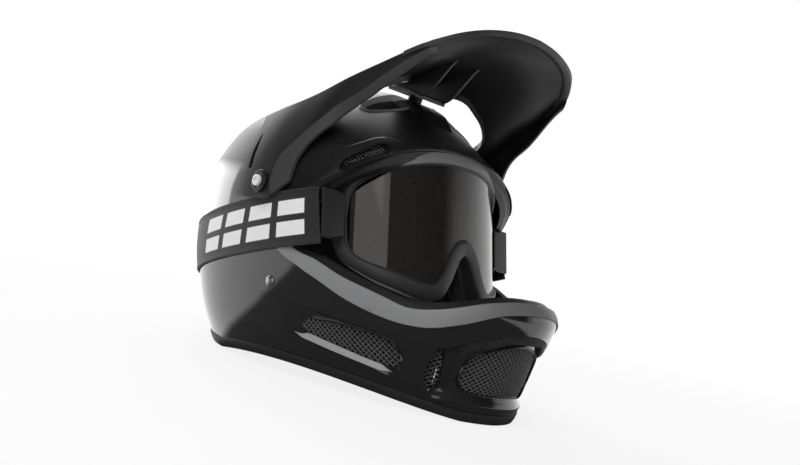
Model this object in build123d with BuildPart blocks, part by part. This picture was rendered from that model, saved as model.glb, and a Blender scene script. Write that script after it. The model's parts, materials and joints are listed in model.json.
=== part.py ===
from build123d import *
import os
from math import cos, pi, sin, tan

# Downhill full face helmet worn with goggles, in millimetres.
# The front faces -Y, +Z is up, +X is the wearer's left, and the rim rests on Z = 0.

# Overall sizes of the outer form
shell_length = 359.0
shell_width = 235.0
shell_height = 236.0
half_width = shell_width / 2

# Layers, measured inwards from the outer form at its widest
shell_wall = 3.0
layer_gap = 0.4
liner_depth = 26.0
pad_depth = 8.0
cheek_core_depth = 16.0
cheek_pad_depth = 18.0
chin_liner_depth = 17.0
neck_roll_depth = 24.0

# Trims, nets and vents
port_trim_rise = 0.8
port_trim_depth = 8.0
base_trim_proud = 1.2
base_trim_lap = 2.5
base_trim_height = 7.0
rim_arch_rise = 9.0
net_wall = 1.2
net_pitch = 3.5
net_hole = 1.15
net_inset = 5.0
net_fit = 0.3
channel_margin = 4.5
vent_soften = 2.2
brow_soften = 1.1
intake_wall = 1.2
intake_proud = 1.6

# Visor, its pivots and its centre slot
visor_wall = 2.6
visor_travel = 6.0
pivot_boss_radius = 9.5
pivot_boss_height = 3.2
pivot_boss_gap = 0.4
pivot_screw_radius = 3.0
pivot_head_radius = 4.4
pivot_head_height = 2.6
pivot_washer_radius = 8.7
pivot_washer_wall = 1.4
pivot_insert_radius = 5.0
pivot_insert_length = 15.0
pivot_screw_length = 14.0
hex_radius = 2.3
hex_depth = 1.6
head_chamfer_share = 0.3
running_fit = 0.05
slot_guide_radius = 101.0
slot_guide_wall = 3.0
slot_guide_width = 34.0
slot_guide_front_angle = 22.0
slot_guide_back_angle = -0.5
slot_play = 0.5
rib_wall = 2.4
rib_spread = 13.0
center_screw_radius = 2.5
center_head_radius = 4.8
center_head_height = 3.0
center_flange_radius = 6.5
center_flange_wall = 1.0
center_screw_length = 17.0
center_insert_radius = 6.0
center_insert_length = 14.0

# Chin strap with its rings
webbing_width = 20.0
webbing_wall = 2.0
webbing_gap = 1.0
rivet_head_radius = 4.0
rivet_head_height = 1.8
rivet_shank_radius = 1.9
rivet_length = 7.5
ring_wire_radius = 1.5
ring_width = 26.0
ring_reach = 17.0
ring_spacing = 5.4
ring_lap_wall = 1.8
snap_radius = 5.5
snap_height = 1.6
snap_stem_radius = 2.0

# Goggles, in a frame that leans back with the wearer's head
lean = 16.0
lens_radius = 95.0
lens_wall = 1.6
lens_width = 162.0
lens_height = 97.0
frame_proud = 3.0
frame_depth = 13.0
lens_fit = 0.3
foam_gap = 0.3
foam_depth = 14.0
frame_lip = 3.2
frame_reach = 50.0
foam_reach = 62.0
drum_half_angle = 75.0
goggle_play = 0.8
outrigger_wall = 3.0
outrigger_height = 37.0
strap_width = 46.0
strap_wall = 1.8
strap_rise = 0.4
buckle_wall = 3.2
buckle_bar = 5.0
buckle_width = 34.0

# One overrun serves every cut that has to pass clean through
overrun = 60.0

# Stations of the outer form: height, back, front, half width, widest place, as shares of
# the height, length, length, half width and length, then the two roundness exponents
form_shares = [
    (0.000, 0.350, -0.447, 0.826, 0.065, 1.90, 2.3),
    (0.106, 0.411, -0.472, 0.902, 0.071, 1.90, 2.3),
    (0.233, 0.461, -0.489, 0.953, 0.077, 1.90, 2.3),
    (0.360, 0.492, -0.500, 0.979, 0.077, 1.90, 2.3),
    (0.466, 0.500, -0.430, 0.996, 0.077, 1.95, 2.2),
    (0.572, 0.497, -0.361, 1.000, 0.077, 2.00, 2.2),
    (0.678, 0.472, -0.291, 0.970, 0.077, 2.10, 2.1),
    (0.784, 0.408, -0.213, 0.868, 0.077, 2.20, 2.1),
    (0.847, 0.347, -0.157, 0.757, 0.077, 2.20, 2.0),
    (0.898, 0.283, -0.113, 0.621, 0.077, 2.10, 2.0),
    (0.949, 0.202, -0.057, 0.434, 0.071, 2.00, 2.0),
    (0.983, 0.127, -0.001, 0.247, 0.065, 2.00, 2.0),
    (1.000, 0.071, 0.049, 0.051, 0.060, 2.00, 2.0),
]
form_points = 12

# Side outlines, as shares of the length and the height
port_outer_shares = [
    (-0.191, 0.818), (-0.185, 0.763), (-0.166, 0.708), (-0.135, 0.648), (-0.091, 0.585),
    (-0.046, 0.517), (-0.024, 0.449), (-0.035, 0.394), (-0.107, 0.343), (-0.163, 0.318),
    (-0.224, 0.288), (-0.277, 0.267), (-0.350, 0.254), (-0.397, 0.263), (-0.453, 0.305),
    (-0.542, 0.373),
]
port_inner_shares = [
    (-0.199, 0.809), (-0.191, 0.754), (-0.174, 0.703), (-0.146, 0.644), (-0.107, 0.585),
    (-0.074, 0.525), (-0.057, 0.458), (-0.071, 0.411), (-0.157, 0.364), (-0.219, 0.335),
    (-0.272, 0.318), (-0.347, 0.305), (-0.394, 0.322), (-0.436, 0.352), (-0.542, 0.424),
]
port_mouth_shares = [(-0.700, 0.424), (-0.700, 0.818)]
liner_outline_shares = [
    (-0.300, 0.900), (-0.140, 0.740), (-0.060, 0.580), (0.020, 0.480), (0.150, 0.430),
    (0.200, 0.250), (0.230, 0.200), (0.600, 0.200), (0.600, 1.100), (-0.300, 1.100),
]
cheek_outline_shares = [
    (-0.240, 0.100), (0.150, 0.100), (0.140, 0.400), (0.015, 0.450), (-0.010, 0.370),
    (-0.080, 0.320), (-0.180, 0.280), (-0.240, 0.250),
]
chin_outline_shares = [(-0.252, 0.145), (-0.252, 0.450), (-0.600, 0.450), (-0.600, 0.145)]
neck_outline_shares = [(0.180, 0.031), (0.600, 0.031), (0.600, 0.190), (0.220, 0.190), (0.180, 0.230)]
crown_outline_shares = [(-0.020, 0.560), (0.320, 0.560), (0.320, 1.000), (-0.020, 1.000)]
brow_outline_shares = [(-0.024, 0.640), (-0.024, 1.000), (-0.180, 1.000), (-0.180, 0.800), (-0.110, 0.640)]
rim_arch_shares = [0.155, -0.133, -0.421]

# Planes that the cutters start from, as shares of the length or the height, and the cuts' reach
front_plane_share = 0.02
chin_plane_share = 0.25
back_plane_share = -0.60
top_plane_share = 0.60
back_cut_share = 0.40
visor_cut_share = 0.30

# Vents on one side; front views as shares of half width and height, top views as shares of
# half width and length, side views as shares of length and height
cheek_vent_shares = [
    (-0.135, 0.169), (-0.152, 0.199), (-0.196, 0.208), (-0.260, 0.199), (-0.316, 0.186),
    (-0.336, 0.169), (-0.333, 0.110), (-0.302, 0.102), (-0.233, 0.123), (-0.163, 0.148),
]
chin_side_vent_shares = [(0.391, 0.072), (0.485, 0.085), (0.494, 0.169), (0.443, 0.212), (0.391, 0.199)]
chin_center_vent_shares = [
    (-0.315, 0.140), (-0.298, 0.195), (-0.145, 0.242), (0.145, 0.242), (0.298, 0.195),
    (0.315, 0.140), (0.230, 0.110), (-0.230, 0.110),
]
brow_vent_shares = [
    (0.843, 0.657), (0.826, 0.691), (0.766, 0.720), (0.630, 0.767), (0.570, 0.773),
    (0.562, 0.756), (0.596, 0.737), (0.715, 0.699), (0.809, 0.661),
]
intake_shares = [
    (0.545, -0.035), (0.374, -0.021), (0.204, -0.015), (0.128, -0.029), (0.153, -0.065),
    (0.255, -0.074), (0.409, -0.074), (0.528, -0.063),
]
exhaust_shares = [(0.180, 0.560), (0.500, 0.530), (0.520, 0.590), (0.460, 0.650), (0.180, 0.680)]

# Visor stations: place along the length, then across and up for the fold, the middle of the
# side and its foot, and the height of the crown line
visor_shares = [
    (-0.369, 0.664, 1.131, 0.670, 1.108, 0.655, 1.081, 1.199),
    (-0.272, 0.689, 1.093, 0.694, 1.064, 0.672, 1.034, 1.178),
    (-0.180, 0.800, 1.008, 0.800, 0.966, 0.774, 0.919, 1.140),
    (-0.104, 0.851, 0.949, 0.862, 0.881, 0.843, 0.805, 1.102),
    (-0.040, 0.889, 0.894, 0.972, 0.729, 1.025, 0.551, 1.072),
    (0.043, 0.925, 0.839, 1.027, 0.678, 1.051, 0.466, 1.068),
    (0.132, 0.925, 0.792, 1.025, 0.661, 1.051, 0.466, 1.050),
]
visor_side_shares = [
    (0.105, 0.788), (0.095, 0.742), (0.088, 0.636), (0.084, 0.560), (0.066, 0.524),
    (0.030, 0.522), (-0.013, 0.535), (-0.045, 0.572), (-0.058, 0.620), (-0.058, 0.703),
    (-0.074, 0.805), (-0.124, 0.864), (-0.191, 0.949), (-0.241, 1.017), (-0.269, 1.055),
    (-0.305, 1.075), (-0.420, 1.075), (-0.420, 1.300), (0.127, 1.300),
]
visor_plan_shares = [(0.809, -0.180), (0.766, -0.224), (0.689, -0.272), (0.511, -0.322), (0.255, -0.345)]
visor_front_share = -0.352
fold_wall_share = 0.8
notch_shares = [
    (0.000, 0.021), (0.145, 0.021), (0.170, -0.001), (0.187, -0.046), (0.289, -0.082),
    (0.528, -0.082), (0.681, -0.052), (0.749, 0.015), (0.800, 0.182), (0.000, 0.182),
]
rib_shares = [(0.011, 1.017), (-0.061, 0.972), (-0.184, 1.165), (-0.150, 1.271), (0.011, 1.271)]
pivot_fore_share = 0.028
pivot_up_share = 0.579
center_angle = 9.5

# Chin strap route on one side, as shares of half width and height, and its place fore and aft
webbing_shares = [(0.893, 0.322), (0.860, 0.170), (0.770, 0.100), (0.590, 0.090)]
ring_end_share = 0.400
long_end_share = -0.255
cheek_channel_shares = [(-0.118, 0.080), (-0.352, 0.080), (-0.352, 0.229), (-0.118, 0.229)]
anchor_fore_share = -0.032
anchor_up_share = 0.275
anchor_out_share = 0.938
strap_bore_share = 0.5

# Goggle outlines in front view, one half, as shares of the lens width and height
lens_shares = [
    (0.000, 0.478), (0.125, 0.470), (0.247, 0.440), (0.355, 0.391), (0.438, 0.324),
    (0.488, 0.235), (0.508, 0.045), (0.508, -0.113), (0.500, -0.244), (0.455, -0.344),
    (0.398, -0.394), (0.327, -0.441), (0.245, -0.493), (0.180, -0.497), (0.130, -0.400),
    (0.080, -0.220), (0.000, -0.120),
]
frame_shares = [
    (0.000, 0.575), (0.130, 0.568), (0.247, 0.540), (0.358, 0.495), (0.445, 0.435),
    (0.500, 0.360), (0.528, 0.270), (0.532, 0.045), (0.532, -0.210), (0.510, -0.345),
    (0.450, -0.450), (0.330, -0.556), (0.200, -0.618), (0.145, -0.605), (0.105, -0.520),
    (0.055, -0.360), (0.000, -0.230),
]
lens_fore_share = -0.2549
lens_up_share = 0.576
strap_line_fore_share = -0.132
strap_line_up_share = 0.615
strap_tilt = 15.5
outrigger_shares = [(0.490, 0.250), (0.664, 0.262), (0.664, 0.280), (0.490, 0.270)]

# Nets: front end and back end in plan, then height of the middle, as shares of half width,
# length and height, and each net's own width and height
cheek_net_shares = ((0.597, -0.336), (0.846, -0.135), 0.155)
chin_side_net_shares = ((0.374, -0.422), (0.494, -0.380), 0.136)
exhaust_net_shares = ((0.511, 0.442), (0.179, 0.486), 0.610)
cheek_net_width = 84.0
cheek_net_height = 29.0
chin_side_net_width = 22.0
chin_side_net_height = 36.0
exhaust_net_width = 44.0
exhaust_net_height = 36.0
chin_center_net_share = -0.438
chin_center_net_rise_share = 0.176
chin_center_net_columns = 19
chin_center_net_rows = 8
net_lap_share = 0.5
brow_net_shares = (0.706, -0.150, 0.714)
brow_net_run = (-0.748, -0.421, 0.514)
brow_net_out = (0.660, -0.520, 0.550)
brow_net_width = 46.0
brow_net_height = 11.5


def placed(shares, across, along):
    """Points of an outline, from shares of the two sizes that it follows."""
    return [(first * across, second * along) for first, second in shares]


def mirrored(points):
    """The same points on the other side of the middle plane."""
    return [(-first, second) for first, second in points]


def form_section(station, inset):
    """Points round one level of the outer form, drawn in by the inset."""
    height, back, front, width, widest, front_power, back_power = station
    length_scale = shell_length - 2 * inset
    reach = width * (half_width - inset)
    middle = widest * length_scale
    points = []
    for step in range(form_points):
        turn = 2 * pi * step / form_points + pi / 2
        across = cos(turn)
        along = sin(turn)
        power = back_power if along > 0 else front_power
        depth = (back if along > 0 else -front) * length_scale - (middle if along > 0 else -middle)
        x = reach * abs(across) ** (2 / power) * (1 if across > 0 else -1)
        y = middle + depth * abs(along) ** (2 / power) * (1 if along > 0 else -1)
        points.append((x, y))
    return points


def form(inset):
    """The smooth solid form of the helmet, drawn in on every side by the inset."""
    with BuildPart() as body:
        for station in form_shares:
            with BuildSketch(Plane.XY.offset(station[0] * (shell_height - inset))):
                with BuildLine():
                    Spline(*form_section(station, inset), periodic=True)
                make_face()
        loft()
    return body.part


def side_block(points, near=-shell_width, far=shell_width):
    """A straight-sided side outline carried across from one x to another."""
    with BuildPart() as block:
        with BuildSketch(Plane.YZ.offset(near)):
            with BuildLine():
                Polyline(*points, close=True)
            make_face()
        extrude(amount=far - near)
    return block.part


def port_block(shares):
    """The space in front of a line round the eye port."""
    edge = placed(shares, shell_length, shell_height)
    mouth = placed(port_mouth_shares, shell_length, shell_height)
    with BuildPart() as block:
        with BuildSketch(Plane.YZ):
            with BuildLine():
                Spline(*edge)
                Polyline(edge[-1], mouth[0], mouth[1], edge[0])
            make_face()
        extrude(amount=shell_width, both=True)
    return block.part


def below_rim(rise):
    """The space under the rim line, lifted by the rise, with its arch at each cheek."""
    back, middle, front = [share * shell_length for share in rim_arch_shares]
    with BuildPart() as block:
        with BuildSketch(Plane.YZ):
            with BuildLine():
                ThreePointArc((back, rise), (middle, rise + rim_arch_rise), (front, rise))
                Polyline(
                    (front, rise),
                    (-shell_length, rise),
                    (-shell_length, -overrun),
                    (shell_length, -overrun),
                    (shell_length, rise),
                    (back, rise),
                )
            make_face()
        extrude(amount=shell_width, both=True)
    return block.part


def prism(plane, points, length, soften=0.0):
    """An outline carried straight along the normal of its plane."""
    with BuildPart() as block:
        with BuildSketch(plane):
            with BuildLine():
                Polyline(*points, close=True)
            make_face()
            if soften:
                fillet(vertices(), radius=soften)
        extrude(amount=length)
    return block.part


def cylinder_between(plane, radius, length, bore=0.0):
    """A round bar, or a ring where a bore is given, along the normal of its plane."""
    with BuildPart() as bar:
        with BuildSketch(plane):
            Circle(radius)
            if bore:
                Circle(bore, mode=Mode.SUBTRACT)
        extrude(amount=length)
    return bar.part


def finish(piece, name):
    """Label a piece and write it to its own file."""
    piece.part.label = name
    export_step(piece.part, f"parts/{name}.step")


os.makedirs("parts", exist_ok=True)

# Shared forms, from the outside in
outer_form = form(0)
wall_form = form(shell_wall)
under_shell = shell_wall + layer_gap
under_shell_form = form(under_shell)
liner_inner_form = form(under_shell + liner_depth)
pad_outer_form = form(under_shell + liner_depth + layer_gap)
pad_inner_form = form(under_shell + liner_depth + layer_gap + pad_depth)
cheek_core_inner_form = form(under_shell + cheek_core_depth)
cheek_pad_outer_form = form(under_shell + cheek_core_depth + layer_gap)
cheek_pad_inner_form = form(under_shell + cheek_core_depth + layer_gap + cheek_pad_depth)

port_outer = port_block(port_outer_shares)
port_inner = port_block(port_inner_shares)
shell_foot = below_rim(base_trim_height)

# Vent cutters, one pair or one middle cutter each
cheek_vent = placed(cheek_vent_shares, shell_length, shell_height)
chin_side_vent = placed(chin_side_vent_shares, half_width, shell_height)
chin_center_vent = placed(chin_center_vent_shares, half_width, shell_height)
brow_vent = placed(brow_vent_shares, half_width, shell_height)
intake = placed(intake_shares, half_width, shell_length)
exhaust = placed(exhaust_shares, half_width, shell_height)


def both_sides(plane, points, length, soften):
    """The same prism on the right and on the left."""
    return [prism(plane, side, length, soften) for side in (points, mirrored(points))]


def channel(plane, points, length):
    """An air channel behind a vent, wider than the vent by the channel margin."""
    with BuildPart() as passage:
        with BuildSketch(plane):
            with BuildLine():
                Polyline(*points, close=True)
            make_face()
            offset(amount=channel_margin, kind=Kind.INTERSECTION)
        extrude(amount=length)
    return passage.part


front_reach = shell_length
front_plane = Plane.XZ.offset(front_plane_share * shell_length)
chin_plane = Plane.XZ.offset(chin_plane_share * shell_length)
back_plane = Plane.XZ.offset(back_plane_share * shell_length)
top_plane = Plane.XY.offset(top_plane_share * shell_height)
back_reach = back_cut_share * shell_length
cheek_cutter = prism(Plane.YZ.offset(-shell_width), cheek_vent, 2 * shell_width, vent_soften)
cheek_channel = side_block(placed(cheek_channel_shares, shell_length, shell_height))
chin_side_cutters = both_sides(chin_plane, chin_side_vent, front_reach, vent_soften)
chin_center_cutter = prism(chin_plane, chin_center_vent, front_reach, vent_soften)
brow_cutters = both_sides(front_plane, brow_vent, front_reach, brow_soften)
intake_cutters = both_sides(top_plane, intake, shell_height, vent_soften)
exhaust_cutters = both_sides(back_plane, exhaust, back_reach, vent_soften)

# Places of the visor pivots and of the centre screw
pivot_y = pivot_fore_share * shell_length
pivot_z = pivot_up_share * shell_height
pivot_seat = half_width + pivot_boss_height


def turned(angle, radius):
    """Height and depth at an angle forward of straight up, round the pivot line."""
    turn = angle * pi / 180
    return (pivot_y - radius * sin(turn), pivot_z + radius * cos(turn))


def center_plane(radius):
    """Plane square to the centre screw, this far from the pivot line."""
    y, z = turned(center_angle, radius)
    turn = center_angle * pi / 180
    return Plane(origin=(0, y, z), x_dir=(1, 0, 0), z_dir=(0, -sin(turn), cos(turn)))


def pivot_plane(side, x):
    """Plane square to a pivot screw, looking outwards, this far from the middle."""
    return Plane(origin=(side * x, pivot_y, pivot_z), x_dir=(0, 1, 0), z_dir=(side, 0, 0))


insert_bottom = slot_guide_radius - layer_gap - center_insert_length
anchor_y = anchor_fore_share * shell_length
anchor_z = anchor_up_share * shell_height
anchor_x = anchor_out_share * half_width


def anchor_plane(side, x):
    """Plane square to a strap rivet, looking outwards."""
    return Plane(origin=(side * x, anchor_y, anchor_z), x_dir=(0, 1, 0), z_dir=(side, 0, 0))


def net(plane, width, height):
    """A flat net with round gaps, trimmed to lie just inside the shell and clear of the goggles."""
    with BuildPart() as sheet:
        with BuildSketch(plane):
            Rectangle(width, height)
        extrude(amount=net_wall)
        add(under_shell_form, mode=Mode.INTERSECT)
        add(goggle_space, mode=Mode.SUBTRACT)
        with BuildSketch(plane):
            columns = int(width / net_pitch) - 1
            rows = int(height / net_pitch)
            with GridLocations(net_pitch, net_pitch, columns, rows):
                Circle(net_hole)
        extrude(amount=net_wall, mode=Mode.SUBTRACT)
    return sheet


def chord_plane(shares, side):
    """Upright plane through two plan points on one side, looking outwards."""
    ends = [(side * across * half_width, along * shell_length) for across, along in shares[:2]]
    first, second = ends if side > 0 else (ends[1], ends[0])
    run = Vector(second[0] - first[0], second[1] - first[1], 0)
    out = Vector(run.Y, -run.X, 0).normalized()
    middle = Vector((first[0] + second[0]) / 2, (first[1] + second[1]) / 2, shares[2] * shell_height)
    return Plane(origin=middle - out * net_inset, x_dir=run.normalized(), z_dir=out)


def net_slot(plane, width, height):
    """The space of a net's plate with its clearance, to cut from what holds it."""
    with BuildPart() as slot:
        with BuildSketch(plane.offset(-net_fit)):
            Rectangle(width + 2 * net_fit, height + 2 * net_fit)
        extrude(amount=net_wall + 2 * net_fit)
    return slot.part


def brow_net_plane(side):
    """Plane of the net behind a brow vent, looking outwards."""
    out = Vector(side * brow_net_out[0], brow_net_out[1], brow_net_out[2]).normalized()
    run = Vector(side * brow_net_run[0], brow_net_run[1], brow_net_run[2]).normalized()
    across, along, up = brow_net_shares
    middle = Vector(side * across * half_width, along * shell_length, up * shell_height)
    return Plane(origin=middle - out * net_inset, x_dir=run, z_dir=out)


# Goggle planes: the front view looks back along the wearer's level line of sight
lean_turn = lean * pi / 180
lens_front = Vector(0, lens_fore_share * shell_length, lens_up_share * shell_height)
lens_up = Vector(0, sin(lean_turn), cos(lean_turn))
lens_back = Vector(0, cos(lean_turn), -sin(lean_turn))
goggle_front = Plane(origin=lens_front, x_dir=(1, 0, 0), z_dir=-lens_back)
goggle_axis = Plane(origin=lens_front + lens_back * lens_radius, x_dir=(1, 0, 0), z_dir=lens_up)


def goggle_outline(shares, grow):
    """Points round a goggle outline seen from the front, each moved outwards by an amount."""
    half = [(across * lens_width, along * lens_height) for across, along in shares]
    loop = half + list(reversed(mirrored(half[1:-1])))
    points = []
    for index, point in enumerate(loop):
        before = loop[index - 1]
        after = loop[(index + 1) % len(loop)]
        run = Vector(after[0] - before[0], after[1] - before[1], 0).normalized()
        points.append((point[0] - grow * run.Y, point[1] + grow * run.X))
    return points


def goggle_block(shares, reach, grow=0.0):
    """A goggle outline carried back to a depth behind the front of the lens."""
    with BuildPart() as block:
        with BuildSketch(goggle_front.offset(overrun)):
            with BuildLine():
                Spline(*goggle_outline(shares, grow), periodic=True)
            make_face()
        extrude(amount=-overrun - reach)
    return block.part


def goggle_drum(outer, inner):
    """The front part of a ring about the upright axis that the lens curves round."""
    turn = drum_half_angle * pi / 180

    def at(radius, angle):
        return (radius * sin(angle), -radius * cos(angle))

    with BuildPart() as drum:
        with BuildSketch(goggle_axis.offset(-lens_height)):
            with BuildLine():
                ThreePointArc(at(outer, -turn), at(outer, 0), at(outer, turn))
                Line(at(outer, turn), at(inner, turn))
                ThreePointArc(at(inner, turn), at(inner, 0), at(inner, -turn))
                Line(at(inner, -turn), at(outer, -turn))
            make_face()
        extrude(amount=2 * lens_height)
    return drum.part


# Room that the goggles fill and are pulled out of
goggle_space = goggle_block(frame_shares, foam_reach + goggle_play, goggle_play)

# Slots that hold the nets
brow_slots = [net_slot(brow_net_plane(side), brow_net_width, brow_net_height) for side in (-1, 1)]
exhaust_slots = [
    net_slot(chord_plane(exhaust_net_shares, side), exhaust_net_width, exhaust_net_height)
    for side in (-1, 1)
]
chin_side_slots = [
    net_slot(chord_plane(chin_side_net_shares, side), chin_side_net_width, chin_side_net_height)
    for side in (-1, 1)
]


# Outer shell
with BuildPart() as outer_shell:
    add(outer_form)
    add(wall_form, mode=Mode.SUBTRACT)
    add(port_outer, mode=Mode.SUBTRACT)
    add(shell_foot, mode=Mode.SUBTRACT)
    add(cheek_cutter, mode=Mode.SUBTRACT)
    add(chin_center_cutter, mode=Mode.SUBTRACT)
    add(chin_side_cutters, mode=Mode.SUBTRACT)
    add(brow_cutters, mode=Mode.SUBTRACT)
    add(intake_cutters, mode=Mode.SUBTRACT)
    add(exhaust_cutters, mode=Mode.SUBTRACT)
    add(goggle_space, mode=Mode.SUBTRACT)
    for side in (-1, 1):
        insert_start = pivot_plane(side, pivot_seat - pivot_insert_length)
        add(cylinder_between(insert_start, pivot_insert_radius, overrun), mode=Mode.SUBTRACT)
        rivet_start = anchor_plane(side, anchor_x - rivet_length)
        add(cylinder_between(rivet_start, rivet_shank_radius, overrun), mode=Mode.SUBTRACT)
        head_space = anchor_plane(side, anchor_x)
        add(cylinder_between(head_space, rivet_head_radius + running_fit, overrun), mode=Mode.SUBTRACT)
    add(cylinder_between(center_plane(insert_bottom), center_insert_radius, overrun), mode=Mode.SUBTRACT)
finish(outer_shell, "outer_shell")

# Energy liner of the crown, sides and back
liner_block = side_block(placed(liner_outline_shares, shell_length, shell_height))
with BuildPart() as cranial_liner:
    add(under_shell_form)
    add(liner_inner_form, mode=Mode.SUBTRACT)
    add(liner_block, mode=Mode.INTERSECT)
    add(port_outer, mode=Mode.SUBTRACT)
    for outline in (brow_vent, mirrored(brow_vent)):
        add(channel(front_plane, outline, front_reach), mode=Mode.SUBTRACT)
    for outline in (exhaust, mirrored(exhaust)):
        add(channel(back_plane, outline, back_reach), mode=Mode.SUBTRACT)
    add(intake_cutters, mode=Mode.SUBTRACT)
    add(brow_slots + exhaust_slots, mode=Mode.SUBTRACT)
    add(goggle_space, mode=Mode.SUBTRACT)
    for side in (-1, 1):
        insert_start = pivot_plane(side, pivot_seat - pivot_insert_length)
        add(cylinder_between(insert_start, pivot_insert_radius, overrun), mode=Mode.SUBTRACT)
    add(cylinder_between(center_plane(insert_bottom), center_insert_radius, overrun), mode=Mode.SUBTRACT)
finish(cranial_liner, "cranial_liner")

# Trim round the eye port, between its outer and inner lines
with BuildPart() as eye_port_trim:
    add(form(port_trim_rise))
    add(form(port_trim_depth), mode=Mode.SUBTRACT)
    add(port_outer, mode=Mode.INTERSECT)
    add(port_inner, mode=Mode.SUBTRACT)
    add(brow_slots, mode=Mode.SUBTRACT)
    add(goggle_space, mode=Mode.SUBTRACT)
finish(eye_port_trim, "eye_port_trim")

# Rubber trim along the rim, lapping both faces of the shell
with BuildPart() as base_trim:
    add(form(-base_trim_proud))
    add(form(shell_wall + base_trim_lap), mode=Mode.SUBTRACT)
    add(shell_foot, mode=Mode.INTERSECT)
    add(below_rim(0), mode=Mode.SUBTRACT)
finish(base_trim, "base_trim")

# Energy liner inside the chin bar, open behind the front vents
chin_block = side_block(placed(chin_outline_shares, shell_length, shell_height))
with BuildPart() as chin_bar_liner:
    add(under_shell_form)
    add(form(under_shell + chin_liner_depth), mode=Mode.SUBTRACT)
    add(chin_block, mode=Mode.INTERSECT)
    add(port_outer, mode=Mode.SUBTRACT)
    add(cheek_channel, mode=Mode.SUBTRACT)
    for outline in (chin_center_vent, chin_side_vent, mirrored(chin_side_vent)):
        add(channel(chin_plane, outline, front_reach), mode=Mode.SUBTRACT)
    add(chin_side_slots, mode=Mode.SUBTRACT)
finish(chin_bar_liner, "chin_bar_liner")


def webbing_path(side, end_share):
    """Route of a strap seen from the front, from its rivet down and in under the cheek."""
    points = placed(webbing_shares, half_width, shell_height)
    last = (end_share * half_width, points[-1][1])
    return [(side * x, z) for x, z in points + [last]]


def webbing_band(side, end_share, wall, width):
    """A flat strap of this wall and width along its route."""
    with BuildPart() as band:
        with BuildSketch(Plane.XZ.offset(-anchor_y - width / 2)):
            with BuildLine():
                route = Polyline(*webbing_path(side, end_share))
            trace(route, line_width=wall)
        extrude(amount=width)
    return band.part


# Cheek cores and cheek pads, with a slot for the strap in each core
cheek_block = placed(cheek_outline_shares, shell_length, shell_height)
slot_wall = webbing_wall + 2 * webbing_gap
slot_width = webbing_width + 2 * webbing_gap
for side, word in ((-1, "right"), (1, "left")):
    near, far = sorted((side * overrun / 2, side * shell_width))
    half_block = side_block(cheek_block, near, far)
    strap_slot = webbing_band(side, ring_end_share, slot_wall, slot_width)
    with BuildPart() as cheek_core:
        add(under_shell_form)
        add(cheek_core_inner_form, mode=Mode.SUBTRACT)
        add(half_block, mode=Mode.INTERSECT)
        add(strap_slot, mode=Mode.SUBTRACT)
        add(cheek_channel, mode=Mode.SUBTRACT)
        pocket_start = anchor_plane(side, anchor_x - 2 * rivet_length)
        add(cylinder_between(pocket_start, webbing_width / 2, overrun), mode=Mode.SUBTRACT)
    finish(cheek_core, f"cheek_core_{word}")
    with BuildPart() as cheek_pad:
        add(cheek_pad_outer_form)
        add(cheek_pad_inner_form, mode=Mode.SUBTRACT)
        add(half_block, mode=Mode.INTERSECT)
        add(strap_slot, mode=Mode.SUBTRACT)
    finish(cheek_pad, f"cheek_pad_{word}")

# Comfort pads of the crown and the brow
for name, shares in (("crown_pad", crown_outline_shares), ("brow_pad", brow_outline_shares)):
    with BuildPart() as pad:
        add(pad_outer_form)
        add(pad_inner_form, mode=Mode.SUBTRACT)
        add(side_block(placed(shares, shell_length, shell_height)), mode=Mode.INTERSECT)
        add(goggle_space, mode=Mode.SUBTRACT)
    finish(pad, name)

# Neck roll below the liner at the back
with BuildPart() as neck_roll:
    add(form(under_shell + base_trim_lap))
    add(form(under_shell + base_trim_lap + neck_roll_depth), mode=Mode.SUBTRACT)
    add(side_block(placed(neck_outline_shares, shell_length, shell_height)), mode=Mode.INTERSECT)
finish(neck_roll, "neck_roll")


# Nets behind the chin, cheek, brow and rear vents
center_net_plane = Plane(
    origin=(0, chin_center_net_share * shell_length, 0),
    x_dir=(1, 0, 0),
    z_dir=(0, -1, 0),
)
with BuildPart() as chin_center_net:
    with BuildSketch(center_net_plane):
        with BuildLine():
            Polyline(*chin_center_vent, close=True)
        make_face()
        offset(amount=net_lap_share * channel_margin, kind=Kind.INTERSECTION)
    extrude(amount=net_wall)
    add(under_shell_form, mode=Mode.INTERSECT)
    with BuildSketch(center_net_plane):
        with Locations((0, chin_center_net_rise_share * shell_height)):
            with GridLocations(net_pitch, net_pitch, chin_center_net_columns, chin_center_net_rows):
                Circle(net_hole)
    extrude(amount=net_wall, mode=Mode.SUBTRACT)
finish(chin_center_net, "chin_center_net")

for side, word in ((-1, "right"), (1, "left")):
    finish(net(chord_plane(cheek_net_shares, side), cheek_net_width, cheek_net_height), f"cheek_net_{word}")
    side_net = net(chord_plane(chin_side_net_shares, side), chin_side_net_width, chin_side_net_height)
    finish(side_net, f"chin_side_net_{word}")
    back_net = net(chord_plane(exhaust_net_shares, side), exhaust_net_width, exhaust_net_height)
    finish(back_net, f"exhaust_net_{word}")
    finish(net(brow_net_plane(side), brow_net_width, brow_net_height), f"brow_net_{word}")

# Frames in the two forehead intakes
for side, word in ((-1, "right"), (1, "left")):
    outline = mirrored(intake) if side < 0 else intake
    with BuildPart() as intake_frame:
        with BuildSketch(top_plane):
            with BuildLine():
                Polyline(*outline, close=True)
            make_face()
            fillet(vertices(), radius=vent_soften)
            offset(amount=-intake_wall, mode=Mode.SUBTRACT)
        extrude(amount=shell_height)
        add(form(-intake_proud), mode=Mode.INTERSECT)
        add(form(port_trim_depth), mode=Mode.SUBTRACT)
    finish(intake_frame, f"intake_frame_{word}")


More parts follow.
